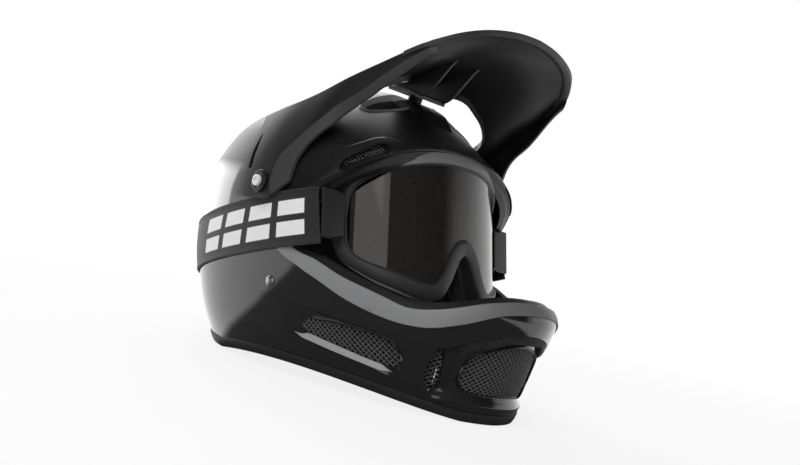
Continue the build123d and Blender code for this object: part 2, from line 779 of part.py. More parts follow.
def visor_section(station, wall):
    """Front view of the visor at one station, drawn in by the wall."""
    place, fold_x, fold_z, mid_x, mid_z, foot_x, foot_z, crown_z = station
    fold = (fold_x * half_width - wall, fold_z * shell_height - fold_wall_share * wall)
    middle = (mid_x * half_width - wall, mid_z * shell_height)
    foot = (foot_x * half_width - wall, foot_z * shell_height - wall)
    crown = (0, crown_z * shell_height - wall)
    return place * shell_length, fold, middle, foot, crown


def visor_form(wall):
    """The space under the visor's outer faces, drawn in by the wall."""
    with BuildPart() as body:
        for station in visor_shares:
            y, fold, middle, foot, crown = visor_section(station, wall)
            with BuildSketch(Plane.XZ.offset(-y)):
                with BuildLine():
                    ThreePointArc(foot, middle, fold)
                    ThreePointArc(fold, crown, mirrored([fold])[0])
                    ThreePointArc(*mirrored([fold, middle, foot]))
                    Line(mirrored([foot])[0], foot)
                make_face()
        loft()
    return body.part


def arc_strip(inner, outer, back_angle, front_angle, half_span):
    """Part of a ring round the pivot line, carried across by the half span."""
    middle_angle = (back_angle + front_angle) / 2
    with BuildPart() as strip:
        with BuildSketch(Plane.YZ):
            with BuildLine():
                ThreePointArc(*[turned(angle, inner) for angle in (back_angle, middle_angle, front_angle)])
                Line(turned(front_angle, inner), turned(front_angle, outer))
                ThreePointArc(*[turned(angle, outer) for angle in (front_angle, middle_angle, back_angle)])
                Line(turned(back_angle, outer), turned(back_angle, inner))
            make_face()
        extrude(amount=half_span, both=True)
    return strip.part


# Visor with its arms, pivot bosses, centre guide and guide ribs
visor_outer_form = visor_form(0)
visor_inner_form = visor_form(visor_wall)
boss_start = pivot_seat + pivot_boss_gap
boss_end = boss_start + pivot_boss_height
screw_bore = pivot_screw_radius + running_fit
front_edge = placed(visor_plan_shares, half_width, shell_length)
front_middle = (0, visor_front_share * shell_length)
plan_corner = (half_width + overrun, front_edge[0][1])
plan_back = (plan_corner[0], visor_cut_share * shell_length)
notch = placed(notch_shares, half_width, shell_length)
slot_half_angle = visor_travel + (center_screw_radius + slot_play) / slot_guide_radius * 180 / pi
slot_half_width = center_screw_radius + slot_play
guide_end = slot_guide_radius + slot_guide_wall
guide_ribs = []
for side in (-1, 1):
    near = side * rib_spread - rib_wall / 2
    with BuildPart() as rib:
        add(side_block(placed(rib_shares, shell_length, shell_height), near, near + rib_wall))
        add(visor_outer_form, mode=Mode.INTERSECT)
    guide_ribs.append(rib.part)
with BuildPart() as visor:
    add(visor_outer_form)
    add(visor_inner_form, mode=Mode.SUBTRACT)
    add(side_block(placed(visor_side_shares, shell_length, shell_height)), mode=Mode.INTERSECT)
    with BuildSketch(Plane.XY):
        with BuildLine():
            Spline(*front_edge, front_middle, *reversed(mirrored(front_edge)))
            Polyline(mirrored(front_edge)[0], mirrored([plan_corner])[0], mirrored([plan_back])[0])
            Polyline(mirrored([plan_back])[0], plan_back, plan_corner, front_edge[0])
        make_face()
    extrude(amount=2 * shell_height, mode=Mode.INTERSECT)
    for outline in (notch, mirrored(notch)):
        with BuildSketch(Plane.XY):
            with BuildLine():
                Polyline(*outline, close=True)
            make_face()
        extrude(amount=2 * shell_height, mode=Mode.SUBTRACT)
    for side in (-1, 1):
        seat_space = pivot_plane(side, 0)
        add(cylinder_between(seat_space, pivot_boss_radius, boss_start), mode=Mode.SUBTRACT)
        add(cylinder_between(pivot_plane(side, boss_start), pivot_boss_radius, pivot_boss_height))
        add(cylinder_between(seat_space, screw_bore, shell_width), mode=Mode.SUBTRACT)
    add(
        arc_strip(
            slot_guide_radius,
            guide_end,
            slot_guide_back_angle,
            slot_guide_front_angle,
            slot_guide_width / 2,
        )
    )
    add(guide_ribs)
    add(
        arc_strip(
            slot_guide_radius - slot_guide_wall,
            guide_end + slot_guide_wall,
            center_angle - slot_half_angle,
            center_angle + slot_half_angle,
            slot_half_width,
        ),
        mode=Mode.SUBTRACT,
    )
finish(visor, "visor")

# Threaded inserts that carry the visor's arms, in the sides of the shell
with BuildPart() as visor_inserts:
    for side in (-1, 1):
        insert_start = pivot_plane(side, pivot_seat - pivot_insert_length)
        add(cylinder_between(insert_start, pivot_insert_radius, pivot_insert_length, screw_bore))
finish(visor_inserts, "visor_inserts")

# Washers on the outer faces of the arms
with BuildPart() as pivot_washers:
    for side in (-1, 1):
        washer_seat = pivot_plane(side, boss_end)
        add(cylinder_between(washer_seat, pivot_washer_radius, pivot_washer_wall, screw_bore))
finish(pivot_washers, "pivot_washers")


def socket_screw(seat, shank, shank_length, head, head_height, flange, flange_wall):
    """A socket screw whose head seats on a plane and whose shank runs back from it."""
    with BuildPart() as screw:
        with BuildSketch(seat):
            Circle(shank)
        extrude(amount=-shank_length)
        if flange:
            with BuildSketch(seat):
                Circle(flange)
            extrude(amount=flange_wall)
        with BuildSketch(seat):
            Circle(head)
        extrude(amount=flange_wall + head_height)
        top_face = faces().sort_by(Axis(seat.origin, seat.z_dir))[-1]
        chamfer(top_face.edges(), length=head_chamfer_share * head_height)
        with BuildSketch(seat.offset(flange_wall + head_height)):
            RegularPolygon(hex_radius, 6)
        extrude(amount=-hex_depth, mode=Mode.SUBTRACT)
    return screw


# Pivot screws and the centre screw
head_seat = boss_end + pivot_washer_wall + running_fit
for side, word in ((-1, "right"), (1, "left")):
    pivot_screw = socket_screw(
        pivot_plane(side, head_seat),
        pivot_screw_radius,
        pivot_screw_length + boss_end - pivot_seat,
        pivot_head_radius,
        pivot_head_height,
        0,
        0,
    )
    finish(pivot_screw, f"pivot_screw_{word}")
center_screw = socket_screw(
    center_plane(guide_end + running_fit),
    center_screw_radius,
    center_screw_length,
    center_head_radius,
    center_head_height,
    center_flange_radius,
    center_flange_wall,
)
finish(center_screw, "center_screw")

# Threaded insert under the centre screw
with BuildPart() as center_insert:
    center_bore = center_screw_radius + running_fit
    insert_start = center_plane(insert_bottom)
    add(cylinder_between(insert_start, center_insert_radius, center_insert_length, center_bore))
finish(center_insert, "center_insert")

# Strap rivets through the shell
with BuildPart() as strap_rivets:
    for side in (-1, 1):
        rivet_seat = anchor_plane(side, anchor_x)
        add(cylinder_between(anchor_plane(side, anchor_x - rivet_length), rivet_shank_radius, rivet_length))
        add(cylinder_between(rivet_seat, rivet_head_radius, rivet_head_height))
finish(strap_rivets, "strap_rivets")

# Chin straps: the left one ends in two loops for the rings, the right one in a snap
strap_end_z = webbing_shares[-1][1] * shell_height
ring_x = ring_end_share * half_width
loop_radius = ring_wire_radius + ring_lap_wall
loop_plane = Plane.XZ.offset(-anchor_y - webbing_width / 2)
ring_heights = [strap_end_z - ring_spacing / 2, strap_end_z + ring_spacing / 2]
with BuildPart() as chin_strap_left:
    add(webbing_band(1, ring_end_share, webbing_wall, webbing_width))
    for height in ring_heights:
        with BuildSketch(loop_plane):
            with Locations((ring_x, height)):
                Circle(loop_radius)
        extrude(amount=webbing_width)
    for height in ring_heights:
        with BuildSketch(loop_plane):
            with Locations((ring_x, height)):
                Circle(ring_wire_radius + running_fit)
        extrude(amount=webbing_width, mode=Mode.SUBTRACT)
    rivet_start = anchor_plane(1, strap_bore_share * anchor_x)
    add(cylinder_between(rivet_start, rivet_shank_radius, half_width), mode=Mode.SUBTRACT)
finish(chin_strap_left, "chin_strap_left")

snap_x = long_end_share * half_width - 2 * snap_radius
snap_space = Plane(origin=(snap_x, anchor_y, 0), z_dir=(0, 0, 1))
with BuildPart() as chin_strap_right:
    add(webbing_band(-1, -long_end_share, webbing_wall, webbing_width))
    add(cylinder_between(snap_space, snap_stem_radius, shell_height / 2), mode=Mode.SUBTRACT)
    rivet_start = anchor_plane(-1, strap_bore_share * anchor_x)
    add(cylinder_between(rivet_start, rivet_shank_radius, half_width), mode=Mode.SUBTRACT)
finish(chin_strap_right, "chin_strap_right")

with BuildPart() as strap_snap:
    add(
        cylinder_between(
            snap_space.offset(strap_end_z - webbing_wall / 2 - snap_height),
            snap_stem_radius,
            webbing_wall + 2 * snap_height,
        )
    )
    add(cylinder_between(snap_space.offset(strap_end_z + webbing_wall / 2), snap_radius, snap_height))
    add(
        cylinder_between(
            snap_space.offset(strap_end_z - webbing_wall / 2 - snap_height),
            snap_radius,
            snap_height,
        )
    )
finish(strap_snap, "strap_snap")

# The two rings, each a bent wire whose straight bar turns in its loop
for height, word in zip(ring_heights, ("lower", "upper")):
    half_ring = ring_width / 2
    with BuildPart() as ring:
        with BuildLine(Plane.XY.offset(height)):
            bend = FilletPolyline(
                (ring_x, anchor_y - half_ring),
                (ring_x, anchor_y + half_ring),
                (ring_x - ring_reach, anchor_y + half_ring),
                (ring_x - ring_reach, anchor_y - half_ring),
                radius=2 * ring_wire_radius,
                close=True,
            )
        with BuildSketch(Plane(origin=bend @ 0, z_dir=bend % 0)):
            Circle(ring_wire_radius)
        sweep(path=bend)
    finish(ring, f"d_ring_{word}")

# Goggle lens, frame and foam
frame_outer = lens_radius + frame_proud
frame_inner = frame_outer - frame_depth
lens_back_radius = lens_radius - lens_wall
with BuildPart() as goggle_lens:
    add(goggle_drum(lens_radius, lens_back_radius))
    add(goggle_block(lens_shares, lens_radius), mode=Mode.INTERSECT)
finish(goggle_lens, "goggle_lens")

with BuildPart() as lens_seat:
    add(goggle_drum(frame_outer + frame_proud, lens_back_radius - lens_fit))
    add(goggle_block(lens_shares, lens_radius, lens_fit), mode=Mode.INTERSECT)
with BuildPart() as goggle_frame:
    add(goggle_drum(frame_outer, frame_inner))
    add(goggle_block(frame_shares, frame_reach), mode=Mode.INTERSECT)
    add(goggle_block(lens_shares, lens_radius, -frame_lip), mode=Mode.SUBTRACT)
    add(lens_seat.part, mode=Mode.SUBTRACT)
finish(goggle_frame, "goggle_frame")

with BuildPart() as frame_space:
    add(goggle_drum(2 * frame_outer + overrun, frame_inner - foam_gap))
    add(goggle_block(frame_shares, frame_reach + foam_gap, frame_proud), mode=Mode.INTERSECT)
with BuildPart() as goggle_foam:
    add(goggle_block(frame_shares, foam_reach, -lens_wall))
    add(goggle_block(lens_shares, lens_radius, -frame_lip), mode=Mode.SUBTRACT)
    add(frame_space.part, mode=Mode.SUBTRACT)
    add(goggle_drum(frame_inner - foam_gap - foam_depth, foam_gap), mode=Mode.SUBTRACT)
finish(goggle_foam, "goggle_foam")

# Outriggers that reach from the frame to the ends of the goggle strap
outrigger_outline = placed(outrigger_shares, lens_width, lens_width)
outrigger_plane = Plane(origin=lens_front, x_dir=(1, 0, 0), z_dir=lens_up)
for side, word in ((-1, "right"), (1, "left")):
    outline = mirrored(outrigger_outline) if side < 0 else outrigger_outline
    with BuildPart() as outrigger:
        with BuildSketch(outrigger_plane.offset(-outrigger_height / 2)):
            with BuildLine():
                Polyline(*outline, close=True)
            make_face()
        extrude(amount=outrigger_height)
        add(goggle_drum(frame_outer, ring_wire_radius), mode=Mode.SUBTRACT)
    finish(outrigger, f"outrigger_{word}")

# Goggle strap round the outside of the shell
strap_slope = tan(strap_tilt * pi / 180)
strap_drop = strap_width / cos(strap_tilt * pi / 180)


def strap_line(y, drop):
    """A point of the strap's upper edge, or of a line below it by the drop."""
    start = strap_line_fore_share * shell_length
    return (y, strap_line_up_share * shell_height - (y - start) * strap_slope - drop)


def strap_front(drop):
    """The same point where the strap ends, just behind the outriggers."""
    depth = lens_front.dot(lens_back) + outrigger_shares[2][1] * lens_width + lens_fit
    height = strap_line(0, drop)[1]
    return (depth + height * sin(lean_turn)) / (cos(lean_turn) + strap_slope * sin(lean_turn))


strap_outline = [
    strap_line(strap_front(0), 0),
    strap_line(shell_length, 0),
    strap_line(shell_length, strap_drop),
    strap_line(strap_front(strap_drop), strap_drop),
]
with BuildPart() as goggle_strap:
    add(form(-strap_rise - strap_wall))
    add(form(-strap_rise), mode=Mode.SUBTRACT)
    add(side_block(strap_outline), mode=Mode.INTERSECT)
finish(goggle_strap, "goggle_strap")

# Adjuster on the strap at the back, a curved plate with two slots
buckle_rise = strap_rise + strap_wall + layer_gap
buckle_z = strap_line(shell_length / 2, strap_drop / 2)[1]
buckle_plane = Plane(origin=(0, 0, buckle_z), x_dir=(1, 0, 0), z_dir=(0, -1, 0))
with BuildPart() as strap_buckle:
    with BuildSketch(buckle_plane):
        RectangleRounded(buckle_width, strap_width + buckle_bar, 2 * buckle_wall)
        with GridLocations(2 * buckle_bar, 0, 2, 1):
            Rectangle(buckle_bar, strap_width - buckle_bar, mode=Mode.SUBTRACT)
    extrude(amount=-shell_length)
    add(form(-buckle_rise - buckle_wall), mode=Mode.INTERSECT)
    add(form(-buckle_rise), mode=Mode.SUBTRACT)
finish(strap_buckle, "strap_buckle")
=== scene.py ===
import json
import math

import bmesh
import bpy
import numpy as np
from mathutils import Matrix, Vector
from mathutils.kdtree import KDTree


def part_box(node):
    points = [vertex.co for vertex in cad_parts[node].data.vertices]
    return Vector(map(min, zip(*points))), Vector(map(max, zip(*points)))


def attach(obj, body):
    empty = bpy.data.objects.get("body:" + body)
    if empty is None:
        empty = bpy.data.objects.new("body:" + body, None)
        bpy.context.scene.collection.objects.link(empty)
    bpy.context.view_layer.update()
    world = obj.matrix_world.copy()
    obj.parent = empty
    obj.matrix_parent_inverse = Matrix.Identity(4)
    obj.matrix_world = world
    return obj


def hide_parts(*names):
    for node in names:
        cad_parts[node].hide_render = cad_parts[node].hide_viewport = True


bl_info = {
    "name": "Full face helmet",
    "version": (1, 0, 0),
    "blender": (4, 5, 0),
    "location": "3D View > Sidebar > Helmet",
    "description": "Builds a downhill full face helmet with goggles round its packed parts",
    "category": "Object",
}

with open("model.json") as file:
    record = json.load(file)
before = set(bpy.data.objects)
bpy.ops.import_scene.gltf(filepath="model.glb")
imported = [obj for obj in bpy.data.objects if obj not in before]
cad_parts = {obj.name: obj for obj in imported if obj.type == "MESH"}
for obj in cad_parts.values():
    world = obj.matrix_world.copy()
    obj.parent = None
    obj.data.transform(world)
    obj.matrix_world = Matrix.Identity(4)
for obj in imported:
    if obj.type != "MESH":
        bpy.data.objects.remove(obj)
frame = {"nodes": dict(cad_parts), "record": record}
nodes = frame["nodes"]

# All sizes below are millimetres in the helmet's own frame, turned into metres when a mesh is made.
# The front faces -Y, +Z is up and -X is the wearer's right.
MM = 0.001
LENGTH = 359.0
HEIGHT = 236.0
HALF = 117.5

# Stations of the outer form: height, back, front, half width, widest place, as shares of the
# height, length, length, half width and length, then the roundness in front and behind
STATIONS = np.array([
    (0.000, 0.350, -0.447, 0.826, 0.065, 1.90, 2.3),
    (0.106, 0.411, -0.472, 0.902, 0.071, 1.90, 2.3),
    (0.233, 0.461, -0.489, 0.953, 0.077, 1.90, 2.3),
    (0.360, 0.492, -0.500, 0.979, 0.077, 1.90, 2.3),
    (0.466, 0.500, -0.430, 0.996, 0.077, 1.95, 2.2),
    (0.572, 0.497, -0.361, 1.000, 0.077, 2.00, 2.2),
    (0.678, 0.472, -0.291, 0.970, 0.077, 2.10, 2.1),
    (0.784, 0.408, -0.213, 0.868, 0.077, 2.20, 2.1),
    (0.847, 0.347, -0.157, 0.757, 0.077, 2.20, 2.0),
    (0.898, 0.283, -0.113, 0.621, 0.077, 2.10, 2.0),
    (0.949, 0.202, -0.057, 0.434, 0.071, 2.00, 2.0),
    (0.983, 0.127, -0.001, 0.247, 0.065, 2.00, 2.0),
    (1.000, 0.071, 0.049, 0.051, 0.060, 2.00, 2.0),
])


# How many places are tried round the form to spread points evenly
RING_PROBES = 4001

# Curves and the form


def hermite(x, xs, ys):
    """Smooth curve through a table, at the places x."""
    slopes = np.gradient(ys, xs)
    i = np.clip(np.searchsorted(xs, x) - 1, 0, len(xs) - 2)
    step = xs[i + 1] - xs[i]
    t = (x - xs[i]) / step
    return (
        (2 * t**3 - 3 * t**2 + 1) * ys[i]
        + (t**3 - 2 * t**2 + t) * step * slopes[i]
        + (3 * t**2 - 2 * t**3) * ys[i + 1]
        + (t**3 - t**2) * step * slopes[i + 1]
    )


def run_lengths(points):
    """Distance along a line of points, from its first."""
    steps = np.linalg.norm(np.diff(points, axis=0), axis=1)
    return np.concatenate([[0.0], np.cumsum(steps)])


def smooth_line(points, count):
    """A smooth line through points, evenly divided."""
    pts = np.array(points, float)
    runs = run_lengths(pts)
    dense = np.linspace(0, runs[-1], 8 * count + 1)
    line = np.stack([hermite(dense, runs, pts[:, k]) for k in range(pts.shape[1])], axis=1)
    return even_line(line, count)


def even_line(line, count, closed=False):
    """The same line divided into evenly spaced points."""
    runs = run_lengths(line)
    places = np.linspace(0, runs[-1], count + (1 if closed else 0))
    found = np.stack([np.interp(places, runs, line[:, k]) for k in range(line.shape[1])], axis=1)
    return found[:-1] if closed else found


def rounded(points, radius, steps=6):
    """A closed outline with its corners rounded."""
    pts = np.array(points, float)
    found = []
    for i in range(len(pts)):
        here, before, after = pts[i], pts[i - 1], pts[(i + 1) % len(pts)]
        to_before = (before - here) / np.linalg.norm(before - here)
        to_after = (after - here) / np.linalg.norm(after - here)
        reach = min(radius, 0.45 * np.linalg.norm(before - here), 0.45 * np.linalg.norm(after - here))
        start, end = here + to_before * reach, here + to_after * reach
        for k in range(steps + 1):
            t = k / steps
            found.append((1 - t) ** 2 * start + 2 * t * (1 - t) * here + t**2 * end)
    return np.array(found)


def levels(z, inset=0.0):
    """The form's sizes at heights: back, front, half width, middle and the two powers."""
    share = np.clip(np.asarray(z, float) / (HEIGHT - inset), 0, 1)
    row = [hermite(share, STATIONS[:, 0], STATIONS[:, k]) for k in range(1, 7)]
    length = LENGTH - 2 * inset
    return row[0] * length, row[1] * length, row[2] * (HALF - inset), row[3] * length, row[4], row[5]


def form_point(angle, z, inset=0.0):
    """Points on the form at angles round it and heights; angle 0 is left, 90 degrees the back."""
    back, front, half, middle, fore_power, back_power = levels(z, inset)
    c, s = np.cos(angle), np.sin(angle)
    power = np.where(s > 0, back_power, fore_power)
    depth = np.where(s > 0, back - middle, middle - front)
    x = half * np.abs(c) ** (2 / power) * np.sign(c)
    y = middle + depth * np.abs(s) ** (2 / power) * np.sign(s)
    return np.stack([x, y, np.broadcast_to(z, x.shape)], axis=-1)


def side_x(y, z, inset=0.0):
    """How far out the form stands at a place in the side view, or nothing in front of it."""
    back, front, half, middle, fore_power, back_power = levels(z, inset)
    y = np.asarray(y, float)
    t = np.where(y > middle, (y - middle) / (back - middle), (middle - y) / (middle - front))
    power = np.where(y > middle, back_power, fore_power)
    return half * np.clip(1 - np.abs(t) ** power, 0, 1) ** (1 / power)


def front_y(x, z, inset=0.0):
    """The form's front surface at a place in the front view."""
    _, front, half, middle, power, _ = levels(z, inset)
    return middle - (middle - front) * np.clip(1 - np.abs(x / half) ** power, 0, 1) ** (1 / power)


def back_y(x, z, inset=0.0):
    """The form's back surface at a place in the rear view."""
    back, _, half, middle, _, power = levels(z, inset)
    return middle + (back - middle) * np.clip(1 - np.abs(x / half) ** power, 0, 1) ** (1 / power)


def form_value(points, inset=0.0):
    """Above 1 outside the form and below 1 inside it."""
    x, y, z = points[..., 0], points[..., 1], points[..., 2]
    back, front, half, middle, fore_power, back_power = levels(z, inset)
    t = np.where(y > middle, (y - middle) / (back - middle), (middle - y) / (middle - front))
    power = np.where(y > middle, back_power, fore_power)
    return np.abs(x / half) ** power + np.abs(t) ** power


def form_normal(points, inset=0.0):
    """Outward direction of the form at points near it."""
    step = 0.05
    pts = np.asarray(points, float)
    grad = np.stack(
        [form_value(pts + d, inset) - form_value(pts - d, inset) for d in np.eye(3) * step], axis=-1
    )
    return grad / np.maximum(np.linalg.norm(grad, axis=-1, keepdims=True), 1e-9)


def top_z(x, y, inset=0.0):
    """The form's upper surface at a place in the top view."""
    x, y = np.asarray(x, float), np.asarray(y, float)
    low = np.full(x.shape, 0.5 * HEIGHT)
    high = np.full(x.shape, HEIGHT - inset - 0.01)
    for _ in range(40):
        mid = (low + high) / 2
        inside = form_value(np.stack([x, y, mid], axis=-1), inset) < 1
        low, high = np.where(inside, mid, low), np.where(inside, high, mid)
    return (low + high) / 2


def on_side(points, inset=0.0):
    """Side view points (y, z) carried onto the form's right side."""
    pts = np.asarray(points, float)
    return np.stack([-side_x(pts[:, 0], pts[:, 1], inset), pts[:, 0], pts[:, 1]], axis=-1)


def on_front(points, inset=0.0):
    """Front view points (x, z) carried onto the form's front."""
    pts = np.asarray(points, float)
    return np.stack([pts[:, 0], front_y(pts[:, 0], pts[:, 1], inset), pts[:, 1]], axis=-1)


def on_back(points, inset=0.0):
    """Rear view points (x, z) carried onto the form's back."""
    pts = np.asarray(points, float)
    return np.stack([pts[:, 0], back_y(pts[:, 0], pts[:, 1], inset), pts[:, 1]], axis=-1)


def on_top(points, inset=0.0):
    """Top view points (x, y) carried onto the form's crown."""
    pts = np.asarray(points, float)
    return np.stack([pts[:, 0], pts[:, 1], top_z(pts[:, 0], pts[:, 1], inset)], axis=-1)


def flipped(points):
    """The mirror image across the middle plane."""
    return np.asarray(points, float) * np.array([-1.0, 1.0, 1.0])


def grown(outline, share):
    """A flat outline made larger about its middle, or smaller where the share is negative."""
    return outline + (outline - outline.mean(axis=0)) * share


def even_angles(count, height, shift=0.0, weigh=None):
    """Angles round the form at a height, evenly spread by distance, or by distance times a weight."""
    probe = np.linspace(0, 2 * math.pi, RING_PROBES)
    ring = form_point(probe, np.full(RING_PROBES, height))
    steps = np.linalg.norm(np.diff(ring, axis=0), axis=1)
    if weigh:
        weight = weigh(ring)
        steps = steps * (weight[1:] + weight[:-1]) / 2
    runs = np.concatenate([[0], np.cumsum(steps)])
    return np.interp((np.arange(count) + shift) / count * runs[-1], runs, probe)


# Meshes


def deselect():
    """Leave edit mode and select nothing."""
    if bpy.context.object and bpy.context.object.mode != "OBJECT":
        bpy.ops.object.mode_set(mode="OBJECT")
    bpy.ops.object.select_all(action="DESELECT")


def pick(obj):
    """Make one object the only one selected and active."""
    deselect()
    obj.select_set(True)
    bpy.context.view_layer.objects.active = obj


def new_mesh(name, points, faces, smooth=True):
    """An object from points in millimetres and faces."""
    mesh = bpy.data.meshes.new(name)
    mesh.from_pydata(
        [tuple(p) for p in np.asarray(points, float) * MM], [], [tuple(int(i) for i in f) for f in faces]
    )
    mesh.validate()
    obj = bpy.data.objects.new(name, mesh)
    bpy.context.scene.collection.objects.link(obj)
    if smooth:
        mesh.shade_smooth()
    return obj


def grid_faces(rows, columns, closed_rows=False, closed_columns=False, start=0):
    """Faces of a grid of points, row after row."""
    found = []
    for r in range(rows if closed_rows else rows - 1):
        for c in range(columns if closed_columns else columns - 1):
            a = start + r * columns + c
            b = start + r * columns + (c + 1) % columns
            d = start + ((r + 1) % rows) * columns + c
            e = start + ((r + 1) % rows) * columns + (c + 1) % columns
            found.append((a, b, e, d))
    return found


def loft(name, rows, closed_rows=False, closed_columns=False, smooth=True, caps=False):
    """A skin over rows of points, each row with the same count."""
    points = np.concatenate([np.asarray(r, float) for r in rows])
    columns = len(rows[0])
    faces = grid_faces(len(rows), columns, closed_rows, closed_columns)
    if caps:
        faces.append(tuple(range(columns))[::-1])
        last = (len(rows) - 1) * columns
        faces.append(tuple(range(last, last + columns)))
    obj = new_mesh(name, points, faces, smooth)
    outwards(obj)
    return obj


def outwards(obj):
    """Merge doubles and turn all faces outwards."""
    bm = bmesh.new()
    bm.from_mesh(obj.data)
    bmesh.ops.remove_doubles(bm, verts=bm.verts, dist=1e-6)
    bmesh.ops.recalc_face_normals(bm, faces=bm.faces)
    bm.to_mesh(obj.data)
    bm.free()


def apply_modifier(obj, kind, **settings):
    """Add a modifier with its settings and apply it."""
    pick(obj)
    modifier = obj.modifiers.new(kind.title(), kind)
    for key, value in settings.items():
        setattr(modifier, key, value)
    bpy.ops.object.modifier_apply(modifier=modifier.name)
    return obj


def soften(obj, width=0.5, segments=2, angle=35):
    """Round the sharp edges of a piece."""
    return apply_modifier(
        obj, "BEVEL", width=width * MM, segments=segments, limit_method="ANGLE",
        angle_limit=math.radians(angle), harden_normals=False,
    )


def smooth_by_angle(obj, angle=35):
    """Shade a piece smooth, but for edges sharper than the angle."""
    pick(obj)
    bpy.ops.object.shade_smooth_by_angle(angle=math.radians(angle))
    return obj


def join(name, parts):
    """Several objects made one."""
    deselect()
    for part in parts:
        part.select_set(True)
    bpy.context.view_layer.objects.active = parts[0]
    bpy.ops.object.join()
    parts[0].name = name
    parts[0].data.name = name
    return parts[0]


def copy_of(obj, name):
    """A copy with its own mesh."""
    found = obj.copy()
    found.data = obj.data.copy()
    found.name = name
    bpy.context.scene.collection.objects.link(found)
    return found


def mirror_of(obj, name):
    """The piece on the other side of the middle plane."""
    found = copy_of(obj, name)
    bm = bmesh.new()
    bm.from_mesh(found.data)
    bmesh.ops.scale(bm, vec=(-1, 1, 1), verts=bm.verts)
    bmesh.ops.reverse_faces(bm, faces=bm.faces)
    bm.to_mesh(found.data)
    bm.free()
    return found


def prism(name, near, far):
    """A closed block between two matching outlines."""
    return loft(name, [near, far], closed_columns=True, smooth=False, caps=True)


def side_prism(name, outline, near=-260.0, far=260.0):
    """A side outline carried across the helmet."""
    pts = np.asarray(outline, float)
    rows = [np.stack([np.full(len(pts), x), pts[:, 0], pts[:, 1]], axis=-1) for x in (near, far)]
    return prism(name, *rows)


def front_prism(name, outline, near=-260.0, far=-20.0):
    """A front outline (x, z) carried from one y to another."""
    pts = np.asarray(outline, float)
    rows = [np.stack([pts[:, 0], np.full(len(pts), y), pts[:, 1]], axis=-1) for y in (near, far)]
    return prism(name, *rows)


def top_prism(name, outline, near=120.0, far=330.0):
    """A top outline (x, y) carried from one z to another."""
    pts = np.asarray(outline, float)
    rows = [np.stack([pts[:, 0], pts[:, 1], np.full(len(pts), z)], axis=-1) for z in (near, far)]
    return prism(name, *rows)


def cut(obj, cutters, operation="DIFFERENCE"):
    """Cut a piece with blocks, which are used up."""
    for cutter in cutters:
        apply_modifier(obj, "BOOLEAN", object=cutter, operation=operation, solver="EXACT")
        bpy.data.objects.remove(cutter)
    return obj


def tube(name, line, radius, sides):
    """A round bar along a line of points."""
    pts = np.asarray(line, float)
    ahead = np.gradient(pts, axis=0)
    ahead /= np.linalg.norm(ahead, axis=1, keepdims=True)
    guide = np.array([0.0, 0.0, 1.0]) if abs(ahead[0][2]) < 0.9 else np.array([1.0, 0.0, 0.0])
    turns = np.arange(sides) * 2 * math.pi / sides
    first = np.cross(guide, ahead[0])
    rows = []
    for here, along in zip(pts, ahead):
        first = first - along * np.dot(first, along)
        first /= np.linalg.norm(first)
        second = np.cross(along, first)
        rows.append(here + radius * (np.outer(np.cos(turns), first) + np.outer(np.sin(turns), second)))
    return loft(name, rows, closed_columns=True, caps=True)


def weave_normals(obj, before, points_before, keep=0.75):
    """Shade the cut skin as the whole one was, and its cut walls flat."""
    tree = KDTree(len(points_before))
    for i, p in enumerate(points_before):
        tree.insert(p, i)
    tree.balance()
    mesh = obj.data
    count = len(mesh.vertices)
    wanted = np.zeros((count, 3))
    for v in mesh.vertices:
        found = tree.find_n(v.co, 3)
        total = np.zeros(3)
        for _, index, distance in found:
            total += before[index] / (distance + 1e-6)
        wanted[v.index] = total / max(np.linalg.norm(total), 1e-9)
    flat = np.zeros(3 * len(mesh.polygons))
    mesh.polygons.foreach_get("normal", flat)
    flat = flat.reshape(-1, 3)
    loop_vertex = np.zeros(len(mesh.loops), int)
    mesh.loops.foreach_get("vertex_index", loop_vertex)
    totals = np.zeros(len(mesh.polygons), int)
    mesh.polygons.foreach_get("loop_total", totals)
    face_of_loop = np.repeat(np.arange(len(mesh.polygons)), totals)
    face_normals = flat[face_of_loop]
    skin = wanted[loop_vertex]
    agree = np.sum(face_normals * skin, axis=1)
    final = np.where((agree > keep)[:, None], skin, face_normals)
    mesh.normals_split_custom_set(final.tolist())


# Shader maths as Python expressions


class Shade:
    """A socket of a material's node tree that takes part in expressions."""

    def __init__(self, tree, socket):
        self.tree = tree
        self.socket = socket

    def math(self, operation, other=None):
        """The result of one of Blender's math operations with another value, if it takes one."""
        node = self.tree.nodes.new("ShaderNodeMath")
        node.operation = operation
        for slot, value in enumerate((self, other)):
            if value is None:
                continue
            if isinstance(value, Shade):
                self.tree.links.new(value.socket, node.inputs[slot])
            else:
                node.inputs[slot].default_value = value
        return Shade(self.tree, node.outputs[0])

    def __add__(self, other):
        return self.math("ADD", other)

    __radd__ = __add__

    def __mul__(self, other):
        return self.math("MULTIPLY", other)

    __rmul__ = __mul__

    def __sub__(self, other):
        return self.math("SUBTRACT", other)

    def __rsub__(self, other):
        return (self * -1.0) + other

    def clamp(self):
        """The value held between 0 and 1."""
        node = self.tree.nodes.new("ShaderNodeClamp")
        self.tree.links.new(self.socket, node.inputs[0])
        return Shade(self.tree, node.outputs[0])

    def step(self, low, high):
        """Smooth rise from 0 at low to 1 at high."""
        node = self.tree.nodes.new("ShaderNodeMapRange")
        node.interpolation_type = "SMOOTHSTEP"
        self.tree.links.new(self.socket, node.inputs["Value"])
        node.inputs["From Min"].default_value = low
        node.inputs["From Max"].default_value = high
        return Shade(self.tree, node.outputs["Result"])


